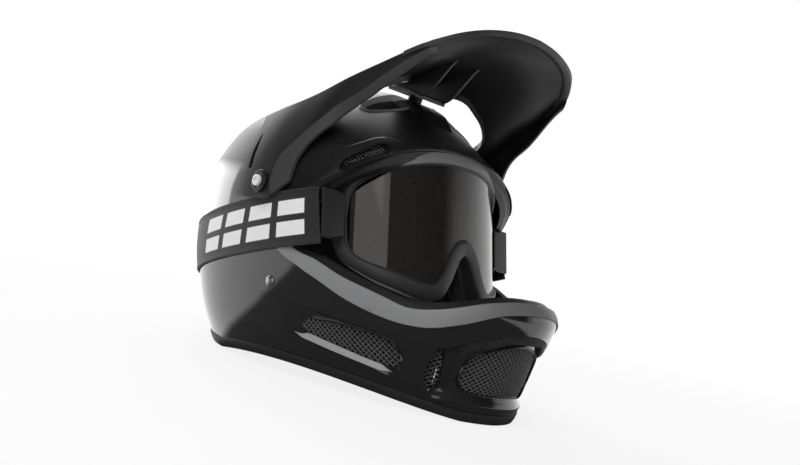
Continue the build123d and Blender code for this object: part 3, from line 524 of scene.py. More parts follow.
class Finish:
    """One material, with a method for any node and the shader's own sockets."""

    def __init__(self, name, color, roughness=0.5, metallic=0.0, **sockets):
        self.material = bpy.data.materials.new(name)
        self.material.use_nodes = True
        self.tree = self.material.node_tree
        self.shader = self.tree.nodes["Principled BSDF"]
        self.set("Base Color", (*color, 1.0))
        self.set("Roughness", roughness)
        self.set("Metallic", metallic)
        for key, value in sockets.items():
            self.set(key.replace("_", " "), value)
        self.material.diffuse_color = (*color, 1.0)

    def set(self, socket, value):
        """Give a socket of the shader a value, or link it to an expression."""
        if isinstance(value, Shade):
            self.tree.links.new(value.socket, self.shader.inputs[socket])
        else:
            self.shader.inputs[socket].default_value = value

    def node(self, kind, settings=None, output=0, **inputs):
        """A node of a type, with its settings first and then its sockets."""
        node = self.tree.nodes.new("ShaderNode" + kind)
        for key, value in (settings or {}).items():
            setattr(node, key, value)
        for key, value in inputs.items():
            socket = node.inputs[key.replace("_", " ")]
            if isinstance(value, Shade):
                self.tree.links.new(value.socket, socket)
            else:
                socket.default_value = value
        return Shade(self.tree, node.outputs[output])

    def place(self):
        """Object coordinates in metres."""
        return self.node("TexCoord", output="Object")

    def axes(self):
        """The three object coordinates in millimetres."""
        scaled = self.node("VectorMath", {"operation": "SCALE"}, Vector=self.place(), Scale=1 / MM)
        node = self.tree.nodes.new("ShaderNodeSeparateXYZ")
        self.tree.links.new(scaled.socket, node.inputs[0])
        return [Shade(self.tree, node.outputs[k]) for k in range(3)]

    def noise(self, grain, detail):
        """Noise of a grain size, in millimetres."""
        return self.node("TexNoise", Vector=self.place(), Scale=1 / (grain * MM), Detail=detail)

    def cells(self, grain, feature="F1", **inputs):
        """Distances in a pattern of cells of a size, in millimetres."""
        return self.node(
            "TexVoronoi", {"feature": feature}, Vector=self.place(), Scale=1 / (grain * MM), **inputs
        )

    def band(self):
        """The value that mark_rows and bevel_edge keep on the points."""
        return self.node("Attribute", {"attribute_name": "band"}, output=2)

    def mix(self, factor, first, second):
        """A colour between two colours."""
        node = self.tree.nodes.new("ShaderNodeMix")
        node.data_type = "RGBA"
        self.tree.links.new(factor.socket, node.inputs[0])
        for slot, value in ((6, first), (7, second)):
            if isinstance(value, Shade):
                self.tree.links.new(value.socket, node.inputs[slot])
            else:
                node.inputs[slot].default_value = (*value, 1.0)
        return Shade(self.tree, node.outputs[2])

    def bump(self, height, distance, strength=1.0):
        """Relief of a height, in millimetres at full height."""
        found = self.node("Bump", Height=height, Strength=strength, Distance=distance * MM)
        self.set("Normal", found)
        return self

    def grained(self, rough, relief):
        """Roughness that varies from place to place, and a fine relief."""
        grain, detail, share, least = rough
        self.set("Roughness", self.noise(grain, detail) * share + least)
        grain, detail, height, strength = relief
        return self.bump(self.noise(grain, detail), height, strength)


def dress(obj, finish):
    """Give a piece one finish."""
    obj.data.materials.clear()
    obj.data.materials.append(finish.material)
    return obj


def settle(obj, body, slot, *replaced, finish=None):
    """Say what a piece rides on, the nodes it stands for and its finish; its slot is not used."""
    if finish:
        dress(obj, finish)
    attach(obj, body)
    if replaced:
        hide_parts(*replaced)
    return obj


# Finishes of one colour: slot, name, colour and metallic, then grain size, detail, share and least
# of the roughness, and grain size, detail, height and strength of the relief
PLAIN = (
    ("rubber", "rim_rubber", (0.022, 0.022, 0.023), 0.0, (12.0, 4.0, 0.12, 0.46), (0.6, 3.0, 0.04, 0.35)),
    ("net", "net_wire", (0.16, 0.16, 0.165), 0.3, (6.0, 3.0, 0.15, 0.3), (0.5, 2.0, 0.02, 0.3)),
    ("steel", "brushed_steel", (0.56, 0.56, 0.57), 1.0, (2.0, 4.0, 0.15, 0.22), (0.4, 2.0, 0.015, 0.4)),
    ("chrome", "screw_chrome", (0.75, 0.76, 0.78), 1.0, (1.5, 3.0, 0.08, 0.08), (0.6, 2.0, 0.01, 0.3)),
    ("pivot_head", "pivot_alloy", (0.85, 0.85, 0.86), 0.15, (1.2, 3.0, 0.12, 0.28), (0.5, 2.0, 0.015, 0.4)),
    ("washer", "washer_black", (0.012, 0.012, 0.013), 0.0, (3.0, 3.0, 0.12, 0.28), (0.5, 2.0, 0.02, 0.3)),
    ("insert", "insert_black", (0.02, 0.02, 0.021), 0.7, (1.5, 3.0, 0.15, 0.32), (0.4, 2.0, 0.02, 0.4)),
    ("snap", "snap_black", (0.014, 0.014, 0.014), 0.4, (2.0, 3.0, 0.15, 0.22), (0.5, 2.0, 0.02, 0.3)),
    ("buckle", "buckle_satin", (0.015, 0.015, 0.016), 0.0, (6.0, 3.0, 0.1, 0.34), (0.5, 2.0, 0.02, 0.3)),
)


def hard_finishes(chosen):
    """Finishes of the shell, the mouldings, the metal and the lens."""
    found = {}
    for slot, name, color, metallic, rough, relief in PLAIN:
        found[slot] = Finish(name, color, metallic=metallic).grained(rough, relief)
    # Lacquered shell: gloss below, satin over the forehead, with faint orange peel
    shell = Finish("shell_lacquer", chosen.shell_color, Coat_Roughness=0.06)
    satin = shell.axes()[2].step(138.0, 152.0)
    shell.set("Roughness", satin * 0.3 + shell.noise(38.0, 4.0) * 0.03 + chosen.shell_gloss)
    shell.set("Coat Weight", 1.0 - satin)
    shell.bump(shell.noise(2.2, 2.0) * 0.6 + shell.noise(9.0, 1.0), 0.02, 0.35)
    found["shell"] = shell
    # Satin visor, lightly grained, with a painted highlight: a paler band along its lower edge where the pale
    # floor below would reflect
    visor = Finish("visor_satin", chosen.visor_color)
    # the band mask lightens the base colour: painted highlight, not a paler plastic
    band = visor.band().step(-0.04, 0.04)
    visor.set("Base Color", visor.mix(band, tuple(chosen.visor_color), (0.05, 0.05, 0.052)))
    found["visor_black"] = visor.grained((24.0, 4.0, 0.10, 0.36), (0.5, 2.0, 0.02, 0.35))
    # Satin moulding round the eye port, dark, with a painted highlight in a paler colour on its bevel
    port = Finish("port_trim_satin", chosen.port_highlight_color)
    port.set("Base Color", port.mix(port.band().clamp(), (0.012, 0.012, 0.013), tuple(chosen.port_highlight_color)))
    found["port_trim"] = port.grained((18.0, 4.0, 0.08, 0.34), (0.4, 2.0, 0.02, 0.3))
    # Crown intakes with a paler lip
    intake = Finish("intake_satin", (0.16, 0.161, 0.165))
    lip = intake.band().step(0.45, 0.55)
    intake.set("Base Color", intake.mix(lip, (0.012, 0.012, 0.013), (0.22, 0.22, 0.225)))
    found["intake"] = intake.grained((10.0, 3.0, 0.1, 0.32), (0.5, 2.0, 0.02, 0.3))
    # Painted highlight: a pale grey strip standing in for light reflected off each cheek vent's lower edge
    found["ledge_highlight"] = Finish("vent_ledge_highlight", (0.34, 0.342, 0.346), 0.36)
    # Goggle frame with a painted highlight: a paler colour on its flat band
    goggle = Finish("goggle_satin", (0.07, 0.071, 0.073))
    goggle.set("Base Color", goggle.mix(goggle.band().clamp(), (0.018, 0.018, 0.019), (0.17, 0.171, 0.175)))
    found["goggle_frame"] = goggle.grained((12.0, 4.0, 0.1, 0.36), (0.45, 2.0, 0.025, 0.35))
    # Lens with a dark brown tint and a hard gloss
    tint = {"Transmission_Weight": 1.0, "IOR": 1.45, "Coat_Weight": 0.6, "Coat_Roughness": 0.02}
    lens = Finish("lens_tint", (0.17, 0.15, 0.135), **tint)
    lens.set("Roughness", lens.noise(60.0, 2.0) * 0.02 + 0.02)
    found["lens"] = lens
    return found


def soft_finishes():
    """Finishes of the foam, the pads and the webbing."""
    found = {}
    # Expanded foam: small joined cells
    foam = Finish("liner_foam", (0.02, 0.02, 0.021), 0.75)
    cells = foam.cells(3.2, "DISTANCE_TO_EDGE")
    foam.set("Base Color", foam.mix(cells.step(0.0, 0.12), (0.012, 0.012, 0.013), (0.028, 0.028, 0.03)))
    found["liner"] = foam.bump(cells.step(0.0, 0.25), 0.35, 0.8)
    # Brushed knit of the pads
    pad = Finish("pad_knit", (0.03, 0.03, 0.033), 0.9, Sheen_Weight=0.35, Sheen_Roughness=0.5)
    brushed = pad.noise(9.0, 4.0).step(0.35, 0.7)
    pad.set("Base Color", pad.mix(brushed, (0.018, 0.018, 0.02), (0.04, 0.04, 0.045)))
    found["pad"] = pad.bump(pad.cells(1.3, Randomness=0.35), 0.35, 0.8)
    # Woven webbing of the chin strap, with ribs along it
    webbing = Finish("strap_webbing", (0.016, 0.016, 0.017), 0.75, Sheen_Weight=0.2)
    x, y, z = webbing.axes()
    ribs, picks = waves(y, 1.6), waves(x + z, 1.1)
    webbing.bump(ribs * 0.7 + picks * 0.5, 0.22, 0.9)
    webbing.set("Base Color", webbing.mix(ribs, (0.010, 0.010, 0.011), (0.024, 0.024, 0.026)))
    found["webbing"] = webbing
    # Open foam of the goggles
    foam = Finish("goggle_foam", (0.02, 0.02, 0.021), 0.95, Sheen_Weight=0.4)
    cells = foam.cells(0.9)
    foam.set("Base Color", foam.mix(cells.step(0.1, 0.6), (0.008, 0.008, 0.009), (0.03, 0.03, 0.032)))
    found["foam"] = foam.bump(cells, 0.4, 0.9)
    # Woven elastic of the goggle strap; finish_strap prints on it once its length is known
    found["strap"] = Finish("strap_elastic", (0.022, 0.0225, 0.024), 0.8, Sheen_Weight=0.25)
    return found


def waves(value, pitch):
    """Waves between 0 and 1 along a value, at a pitch."""
    return (value * (2 * math.pi / pitch)).math("SINE") * 0.5 + 0.5


def make_finishes(chosen):
    """Every finish of the helmet, in the chosen colours."""
    return {**hard_finishes(chosen), **soft_finishes()}


# Lines and points that several pieces share


def snap(points, inset=0.0):
    """Points moved along the form's normal until they lie on it, drawn in by the inset."""
    pts = np.array(points, float)
    step = 0.05
    for _ in range(14):
        value = form_value(pts, inset)
        grad = np.stack(
            [form_value(pts + d, inset) - form_value(pts - d, inset) for d in np.eye(3) * step], axis=-1
        ) / (2 * step)
        size = np.maximum(np.sum(grad**2, axis=-1), 1e-9)
        pts = pts - 0.8 * ((value - 1) / size)[..., None] * grad
    return pts


def whole(half):
    """A line from the middle of the brow down one side, closed by its mirror image."""
    other = flipped(half)[1:-1][::-1]
    return np.vstack([half, other])


RIM_BACK = 0.155 * LENGTH
RIM_FRONT = -0.421 * LENGTH
RIM_ARCH = 9.0


def rim_height(y, rise=0.0):
    """Height of the rim line, with its arch at each cheek."""
    middle = (RIM_BACK + RIM_FRONT) / 2
    share = np.clip((np.asarray(y, float) - middle) / (RIM_BACK - middle), -1, 1)
    return rise + RIM_ARCH * (1 - share**2)


# Right half of the eye port: its outer edge, the line inside the bright chamfer, and its inner edge
PORT_OUTER = [
    (0, -68.5, 191), (-16, -69.2, 189.8), (-33, -69.5, 187), (-60, -66.5, 179), (-78, -61.5, 170),
    (-93, -53.5, 159), (-102, -43.5, 149), (-108, -32, 137), (-113, -16.5, 122), (-114, -8.6, 106),
    (-113, -12.6, 93), (-108, -38.4, 80.5), (-102, -58.5, 74), (-95.5, -78, 67), (-87, -98, 62),
    (-74, -122, 59), (-64, -137, 60.5), (-52, -152.5, 67), (-29.5, -172.5, 79.5), (-12, -178.8, 82.4),
    (0, -180, 82.8),
]
PORT_BAND = [
    (0, -70.5, 189.5), (-16, -71.0, 188.2), (-33, -71.0, 185.4), (-59, -68.5, 177.5), (-77, -63.7, 168.5),
    (-92, -56, 157.6), (-100.5, -47, 148), (-105.5, -37, 136), (-110, -23, 121), (-111, -17, 107),
    (-110, -24, 96), (-104.5, -52, 88), (-98, -74.4, 81), (-92, -91, 77.5), (-85.2, -105.2, 74.5),
    (-74.7, -123.7, 70.5), (-63.6, -141.1, 74), (-52, -154, 80), (-40.3, -163.7, 86), (-13.8, -173, 91.5),
    (0, -175, 91.8),
]
PORT_INNER = [
    (0, -72.5, 188), (-16, -73, 186.7), (-33, -73, 183.8), (-58, -70.5, 176), (-76, -66, 167),
    (-91, -58, 156.2), (-99, -50, 147), (-104, -40, 135), (-108, -27, 121), (-109, -22, 108), (-108, -30, 99),
    (-102, -57, 91.5), (-95, -78, 85.5), (-90, -94, 82), (-86, -104.4, 79.8), (-77.2, -120.8, 76.5),
    (-66.9, -137.2, 78.5), (-55.4, -150.9, 84), (-35.6, -162.1, 93), (-15, -168, 97), (0, -169.4, 97.2),
]
# Crease round the raised brow panel, from the middle down the right side
CREASE = [
    (0, -69.5, 192.5), (-13, -69.8, 192.5), (-27, -64.0, 194.5), (-45, -60.5, 190.5), (-57, -57.5, 187.5),
    (-62, -54.5, 188.2), (-67, -52.0, 188.0), (-73, -49.5, 186), (-80, -47.5, 181.5), (-95, -38.5, 169),
    (-98, -37.5, 165), (-101, -38.5, 159), (-107, -32.5, 145), (-110, -24, 134), (-113, -16, 122),
]
# Fold line round the shell, right half from the middle of the chin to the middle of the back
FOLD = [
    (0, -179, 69), (-9, -178.5, 68.5), (-24, -173, 66), (-40.5, -160.5, 59), (-53, -146.6, 50.5),
    (-62, -134, 51.5), (-80, -104, 54), (-102.6, -49, 57), (-112, 0, 60), (-114, 60, 60), (-80, 145, 60),
    (0, 172, 60),
]


def fold_height(x, y):
    """Height of the fold line at a place in the top view, by its bearing from the helmet's middle."""
    line = np.array(FOLD, float)
    bearing = np.arctan2(np.abs(line[:, 0]), -(line[:, 1] - 20))
    wanted = np.arctan2(np.abs(x), -(np.asarray(y, float) - 20))
    return hermite(wanted, bearing, line[:, 2])


def smooth_step(value, low, high):
    """Smooth rise from 0 at low to 1 at high, or the fall where low is above high."""
    share = np.clip((value - low) / (high - low), 0, 1)
    return share * share * (3 - 2 * share)


def relief(points, above):
    """How far the skin stands off the form; above is the height over the fold line."""
    x, y, z = points[:, 0], points[:, 1], points[:, 2]
    # the chin's vents lie in a recess under an overhanging brow
    chin = smooth_step(-y, 136, 139.5) * smooth_step(np.abs(x), 58, 54.5)
    foot = smooth_step(z, 12.5, 19.0)
    recess = -5.5 * chin * smooth_step(-above, 0.0, 5.0) * foot
    # a soft fold along the cheek above the vents
    cheek = smooth_step(-y, 20, 60) * (1 - chin) * smooth_step(-above, 0, 14) * smooth_step(z, 14, 40)
    # long shallow channels behind, down from the exhausts
    behind = smooth_step(y, 60, 120) * np.exp(-(((np.abs(x) - 44) / 15) ** 2)) * smooth_step(z, 205, 150)
    behind = behind * smooth_step(z, 20, 60)
    return recess - 1.6 * cheek - 3.5 * behind


def shell_skin(columns=300, under=44, over=84):
    """Points of the shell's outer skin, row after row from the rim to the crown."""
    # more columns round the chin
    angles = even_angles(columns, 45.0, 0.5, lambda ring: 1.0 + 1.3 * smooth_step(-ring[:, 1], 100, 135))
    low = np.full(columns, 10.0)
    for _ in range(6):
        low = rim_height(form_point(angles, low)[:, 1], 6.0)
    fold = np.full(columns, 58.0)
    for _ in range(6):
        at = form_point(angles, fold)
        fold = fold_height(at[:, 0], at[:, 1])
    rows = []
    for v in np.linspace(0, 1, under):
        share = 1 - (1 - v) ** 1.7
        z = low + (fold - low) * share
        rows.append((form_point(angles, z), z - fold))
    for v in np.linspace(0, 1, over)[1:]:
        share = v**1.25 * (1 - v) + (1 - (1 - v) ** 1.7) * v
        z = fold + (HEIGHT - 0.05 - fold) * share
        rows.append((form_point(angles, z), z - fold))
    found = []
    for points, above in rows:
        off = relief(points, above)
        found.append(points + form_normal(points) * off[:, None])
    return found


def closed_curve(points, radius, count):
    """An outline with rounded corners, evenly divided and starting at its lowest first number."""
    line = rounded(points, radius)
    line = even_line(np.vstack([line, line[:1]]), count, closed=True)
    return np.roll(line, -int(np.argmin(line[:, 0])), axis=0)


# Vents as side or front view outlines: the recess and, inside it, the mesh
CHEEK_RECESS = [
    (-36, 54), (-60, 52), (-84, 50), (-108, 48.5), (-118, 44.5), (-122.5, 37), (-121.5, 24), (-117, 20.5),
    (-104, 22.5), (-60, 28), (-35, 31), (-30, 43),
]
CHEEK_MESH = [
    (-46, 45), (-61, 46), (-84, 47), (-107, 46), (-115, 43), (-118.5, 37), (-118, 29.5), (-113, 27.5),
    (-80, 32), (-52, 35.5), (-44, 39.5),
]
CHIN_SIDE_MESH = [
    (-55.5, 46), (-50, 49), (-47.5, 40), (-45.5, 23), (-47, 19), (-53, 18.5), (-56.5, 24), (-57, 36)
]
CHIN_MESH = [
    (-36.5, 44), (-30, 50), (-15, 57), (0, 59.5), (15, 57), (30, 50), (36.5, 44), (37.5, 30), (34, 23.5),
    (24, 21), (0, 21.5), (-24, 21), (-34, 23.5), (-37.5, 30),
]
BROW_VENT = [(-99, -44.5, 155), (-97, -42.5, 163), (-90, -46.5, 170), (-74, -52.5, 182), (-67, -57.5, 183),
             (-66, -62.5, 180), (-69, -64.5, 176), (-84, -57.5, 167), (-95, -50.5, 158)]
EXHAUST = [(-21, 132), (-58, 125), (-61, 139), (-54, 153), (-21, 160)]
INTAKE = [
    (-65, -12.6), (-44, -7.5), (-24, -5.4), (-15, -10.4), (-18, -23.3), (-30, -26.6), (-48, -26.6),
    (-62, -22.6)
]


def brow_outline(grow=0.0):
    """The brow vent as a front view outline (x, z)."""
    points = np.array([(p[0], p[2]) for p in BROW_VENT], float)
    middle = points.mean(axis=0)
    away = points - middle
    return points + away / np.linalg.norm(away, axis=1, keepdims=True) * grow


def shell_cutters():
    """Blocks that open the shell: the eye port and every vent."""
    side = [(p[1], p[2]) for p in PORT_OUTER[1:-1]]
    side = [(y - 2.0, z + (1.5 if z < 100 else -1.5)) for y, z in side]
    line = smooth_line(side, 90)
    outline = np.vstack([[(-260, line[0][1])], line, [(-260, line[-1][1] + 1.0)]])
    found = [side_prism("port_space", outline[::-1])]
    cheek = closed_curve(CHEEK_RECESS, 9, 72)
    for sign in (-1, 1):
        found.append(side_prism("vent_space", cheek, sign * 20, sign * 160))
        found.append(front_prism("vent_space", closed_curve(CHIN_SIDE_MESH, 4, 48) * (-sign, 1), -190, -118))
        found.append(front_prism("vent_space", closed_curve(brow_outline(), 4, 48) * (-sign, 1), -110, -20))
        outline = closed_curve(EXHAUST, 6, 48) * (-sign, 1)
        found.append(front_prism("vent_space", outline, 120, 200))
        found.append(top_prism("vent_space", closed_curve(INTAKE, 6, 48) * (-sign, 1), 190, 245))
    found.append(front_prism("vent_space", closed_curve(CHIN_MESH, 6, 90), -190, -130))
    return found


def panel_strip(name):
    """The raised panel between the brow crease and the eye port, closed on every side."""
    count = 90
    crease = smooth_line(CREASE, 4 * count)
    edge = smooth_line(PORT_OUTER[:9], 4 * count)
    crease, edge = even_line(crease, count), even_line(edge, count)
    crease[-1] = edge[-1]
    both = []
    for line in (crease, edge):
        both.append(np.vstack([flipped(line)[1:][::-1], line]))
    crease, edge = both
    steps = (
        (0.0, 1.0), (0.0, -0.5), (0.05, -1.5), (0.12, -1.7), (0.5, -1.8), (0.88, -1.6), (1.0, -1.1),
        (1.0, 1.0)
    )
    rows = [snap(crease + (edge - crease) * share, inset) for share, inset in steps]
    return loft(name, rows, closed_rows=True)


# The ridge's top is an arc about the visor's pivot, just inside the guide
SADDLE_RADIUS = 95.6
SADDLE_WALL = 2.5
SADDLE_SINK = 2.0


def crown_saddle():
    """The low ridge of the crown that the visor's guide slides above."""
    rows = []
    for y in np.linspace(28.0, -48.0, 40):
        x = np.linspace(-26.0, 26.0, 41)
        base = np.array([float(top_z(v, y)) for v in x])
        arc = PIVOT[1] + math.sqrt(SADDLE_RADIUS**2 - (y - PIVOT[0]) ** 2)
        lift = np.maximum(arc - base + SADDLE_SINK, 0.0)
        share = smooth_step(-np.abs(x), -25.0, -13.0) * smooth_step(-y, -28, -14) * smooth_step(y, -48, -30)
        top = base - SADDLE_SINK + lift * share
        upper = np.stack([x, np.full(len(x), y), top], axis=-1)
        rows.append(np.vstack([upper, (upper - (0, 0, SADDLE_WALL))[::-1]]))
    return smooth_by_angle(loft("crown_saddle", rows, closed_columns=True, caps=True), 50)


# Wall of the shell's visual skin
SHELL_WALL = 3.2


def make_shell():
    """The shell: its skin thickened and cut, with the brow panel and the crown's ridge."""
    skin = loft("outer_shell_skin", shell_skin(), closed_columns=True)
    bm = bmesh.new()
    bm.from_mesh(skin.data)
    rim = [e for e in bm.edges if e.is_boundary]
    top = [e for e in rim if e.verts[0].co.z > 0.2 and e.verts[1].co.z > 0.2]
    bmesh.ops.edgeloop_fill(bm, edges=top)
    bmesh.ops.recalc_face_normals(bm, faces=bm.faces)
    bm.to_mesh(skin.data)
    bm.free()
    before = np.array([v.normal for v in skin.data.vertices])
    places = [v.co.copy() for v in skin.data.vertices]
    apply_modifier(skin, "SOLIDIFY", thickness=SHELL_WALL * MM, offset=-1, use_even_offset=False)
    panel = panel_strip("brow_panel")
    cut(skin, shell_cutters())
    spaces = []
    for sign in (-1, 1):
        spaces.append(front_prism("vent_space", closed_curve(brow_outline(), 4, 48) * (-sign, 1), -110, -20))
    cut(panel, spaces)
    smooth_by_angle(panel, 40)
    skin.data.shade_smooth()
    weave_normals(skin, before, places)
    return join("outer_shell_visual", [skin, panel, crown_saddle()])


def ring_between(outer, inner, place, base, deep, proud):
    """A closed moulded surround from an outline on the shell in to a smaller one behind it."""
    steps = (
        (0.0, -proud + 0.8), (0.03, -proud), (0.12, -proud * 0.6), (0.9, deep - 1.0), (1.0, deep),
        (1.0, deep + 2.0), (0.5, deep + 2.0), (-0.02, 2.5)
    )
    rows = [place(outer + (inner - outer) * share, inset + base) for share, inset in steps]
    return smooth_by_angle(loft("surround", rows, closed_rows=True, closed_columns=True), 45)


def mark_rows(obj, rows, values):
    """Give the points of each row of a loft a value, kept as an attribute."""
    points = np.concatenate(rows)
    marks = np.repeat(np.asarray(values, float), len(rows[0]))
    tree = KDTree(len(points))
    for i, p in enumerate(points * MM):
        tree.insert(p, i)
    tree.balance()
    layer = obj.data.attributes.new("band", "FLOAT", "POINT")
    for v in obj.data.vertices:
        layer.data[v.index].value = marks[tree.find(v.co)[1]]
    return obj


def make_port_trim():
    """The moulding round the eye port, marked where the painted highlight on its bevel lies: only low round
    the chin bar, and fainter towards the front.
    """
    count = 170
    loops = [whole(even_line(smooth_line(p, 6 * count), count)) for p in (PORT_OUTER, PORT_BAND, PORT_INNER)]
    outer, band, inner = loops
    steps = (
        (outer, band, -0.03, 0.6), (outer, band, 0.0, -0.9), (outer, band, 0.05, -1.25),
        (outer, band, 0.5, -0.2), (outer, band, 0.93, 1.0), (outer, band, 1.0, 1.5), (band, inner, 0.08, 2.6),
        (band, inner, 0.5, 4.0), (band, inner, 0.92, 5.2), (band, inner, 1.0, 5.8), (band, inner, 1.0, 10.5),
        (band, inner, 0.7, 11.0), (band, inner, 0.2, 8.5),
    )
    rows = [snap(a + (b - a) * share, inset) for a, b, share, inset in steps]
    obj = loft("eye_port_trim_visual", rows, closed_rows=True, closed_columns=True)
    mark_rows(obj, rows, [1.0 if 2 <= i <= 5 else 0.0 for i in range(len(rows))])
    # painted highlight: full below 112 mm and gone above 128 mm, where the bevel no longer faces up, and
    # weaker towards the chin
    for v, highlight_mark in zip(obj.data.vertices, obj.data.attributes["band"].data):
        highlight_mark.value *= float(
            smooth_step(-v.co.z / MM, -128, -112) * (1.0 - 0.45 * smooth_step(-v.co.y / MM, 135, 178))
        )
    return smooth_by_angle(obj, 32)


def make_rim_trim():
    """The rubber edge: a rounded bead round the rim, thinner at the cheeks."""
    count = 360
    angles = even_angles(count, 5.0)
    profile = (
        (7.5, 0.6), (7.9, -0.7), (7.0, -1.15), (4.0, -1.3), (1.2, -0.9), (0.1, 0.4), (0.0, 2.2), (0.7, 4.3),
        (3.0, 5.2), (6.5, 5.0), (7.2, 3.4)
    )
    rows = []
    for height, inset in profile:
        z = np.full(count, height)
        for _ in range(6):
            z = rim_height(form_point(angles, z)[:, 1], height)
        points = form_point(angles, z)
        rows.append(points - form_normal(points) * inset)
    rows = [np.stack([r[:, 0], r[:, 1], np.maximum(r[:, 2], 0.0)], axis=-1) for r in rows]
    obj = loft("base_trim_visual", rows, closed_rows=True, closed_columns=True)
    return smooth_by_angle(obj, 50)


def inside_polygon(points, outline):
    """Which points lie in a closed outline."""
    x, y = points[:, 0], points[:, 1]
    found = np.zeros(len(points), bool)
    for i in range(len(outline)):
        a, b = outline[i - 1], outline[i]
        crosses = (a[1] > y) != (b[1] > y)
        with np.errstate(divide="ignore", invalid="ignore"):
            where = (b[0] - a[0]) * (y - a[1]) / (b[1] - a[1]) + a[0]
        found ^= crosses & (x < where)
    return found


def woven_net(name, outline, place, inset, pitch, wire, turn):
    """Wire woven in two directions, laid along the shell behind a vent."""
    middle = outline.mean(axis=0)
    reach = np.max(np.linalg.norm(outline - middle, axis=1)) + pitch
    lines = np.arange(-reach, reach, pitch)
    steps = np.arange(-reach, reach, pitch / 2)
    rows_all, faces_all, total = [], [], 0
    sides = 4
    turns = np.arange(sides) * 2 * math.pi / sides
    for family in (0, 1):
        a = math.radians(turn + 90 * family)
        along, across = np.array([math.cos(a), math.sin(a)]), np.array([-math.sin(a), math.cos(a)])
        for number, line in enumerate(lines):
            points = middle + np.outer(steps, along) + across * line
            keep = inside_polygon(points, outline)
            sign = 1 if (number + family) % 2 else -1
            lift = sign * 0.42 * np.cos(np.arange(len(steps)) * math.pi + family * math.pi)
            runs = np.flatnonzero(np.diff(np.concatenate([[0], keep.astype(int), [0]])))
            for first, last in zip(runs[::2], runs[1::2]):
                first, last = max(first - 1, 0), min(last + 1, len(steps))
                if last - first < 2:
                    continue
                bent = place(points[first:last], inset + lift[first:last])
                ok = np.isfinite(bent).all(axis=1)
                bent = bent[ok]
                if len(bent) < 2:
                    continue
                ahead = np.gradient(bent, axis=0)
                ahead /= np.maximum(np.linalg.norm(ahead, axis=1, keepdims=True), 1e-9)
                out = form_normal(bent)
                side = np.cross(out, ahead)
                side /= np.maximum(np.linalg.norm(side, axis=1, keepdims=True), 1e-9)
                up = np.cross(ahead, side)
                ring = [bent + wire * (math.cos(t) * side + math.sin(t) * up) for t in turns]
                block = np.stack(ring, axis=1).reshape(-1, 3)
                rows_all.append(block)
                faces_all += grid_faces(len(bent), sides, closed_columns=True, start=total)
                faces_all.append(tuple(total + k for k in range(sides))[::-1])
                end = total + (len(bent) - 1) * sides
                faces_all.append(tuple(end + k for k in range(sides)))
                total += len(block)
    obj = new_mesh(name, np.vstack(rows_all), faces_all)
    bm = bmesh.new()
    bm.from_mesh(obj.data)
    bmesh.ops.recalc_face_normals(bm, faces=bm.faces)
    bm.to_mesh(obj.data)
    bm.free()
    return obj


def both_sides(make, name, *args):
    """The same piece on the right and, mirrored, on the left."""
    right = make(name + "_right_visual", *args)
    return right, mirror_of(right, name + "_left_visual")


def make_nets():
    """Every net, as (object, node) pairs."""
    # name, outline, share it is grown by, its surface, inset, pitch, wire and turn
    rows = (
        ("cheek_net", closed_curve(CHEEK_MESH, 4, 60), 0.03, on_side, 5.5, 2.8, 0.46, 38.0),
        ("chin_side_net", closed_curve(CHIN_SIDE_MESH, 4, 48), 0.08, on_front, 8.6, 2.6, 0.45, 45.0),
        ("chin_center_net", closed_curve(CHIN_MESH, 6, 90), 0.03, on_front, 7.6, 2.6, 0.46, 45.0),
        ("brow_net", closed_curve(brow_outline(), 4, 48), 0.04, on_front, 3.2, 2.4, 0.42, 30.0),
        ("exhaust_net", closed_curve(EXHAUST, 6, 48), 0.04, on_back, 4.5, 2.8, 0.46, 45.0),
    )
    found = []
    for name, outline, share, *weave in rows:
        if name == "chin_center_net":
            found.append((woven_net(name + "_visual", grown(outline, share), *weave), name))
        else:
            right, left = both_sides(woven_net, name, grown(outline, share), *weave)
            found += [(right, name + "_right"), (left, name + "_left")]
    return found


def backing(outline, place, inset):
    """A sheet of foam behind a net."""
    middle = outline.mean(axis=0)
    steps = [(share, inset) for share in np.linspace(1.16, 0.02, 9)]
    steps += [(share, inset + 1.6) for share in np.linspace(0.02, 1.16, 9)]
    rows = [place(middle + (outline - middle) * share, deep) for share, deep in steps]
    return smooth_by_angle(loft("backing", rows, closed_rows=True, closed_columns=True), 45)


def make_backings():
    """The foam seen through every net."""
    found = [
        backing(closed_curve(CHEEK_MESH, 4, 60), on_side, 9.5),
        backing(closed_curve(CHIN_SIDE_MESH, 4, 48), on_front, 12.5),
        backing(closed_curve(brow_outline(), 4, 48), on_front, 7.5),
        backing(closed_curve(EXHAUST, 6, 48), on_back, 9.0),
    ]
    found += [mirror_of(part, "backing") for part in list(found)]
    found.append(backing(closed_curve(CHIN_MESH, 6, 90), on_front, 12.0))
    return join("vent_foam", found)


def make_surrounds():
    """Moulded edges of the cheek, chin, brow and rear vents, as a list of pieces."""
    side = closed_curve(CHIN_SIDE_MESH, 4, 60)
    brow_outer = closed_curve(brow_outline(0.5), 4, 60)
    brow_inner = closed_curve(brow_outline(-0.9), 4, 60)
    back = closed_curve(EXHAUST, 6, 60)
    centre = closed_curve(CHIN_MESH, 6, 100)
    # outer and inner outline, their surface, its inset, depth and how proud the edge stands
    rows = (
        (closed_curve(CHEEK_RECESS, 9, 90), closed_curve(CHEEK_MESH, 4, 90), on_side, 0.0, 5.6, 0.35),
        (grown(side, 0.12), side, on_front, 5.6, 3.2, 0.6),
        (brow_outer, brow_inner, on_front, -1.2, 4.2, 0.6),
        (back, grown(back, -0.14), on_back, 0.0, 5.0, 0.5),
    )
    parts = [ring_between(*row) for row in rows]
    parts += [mirror_of(part, "surround") for part in list(parts)]
    parts.append(ring_between(grown(centre, 0.045), centre, on_front, 5.0, 3.0, 0.7))
    return parts


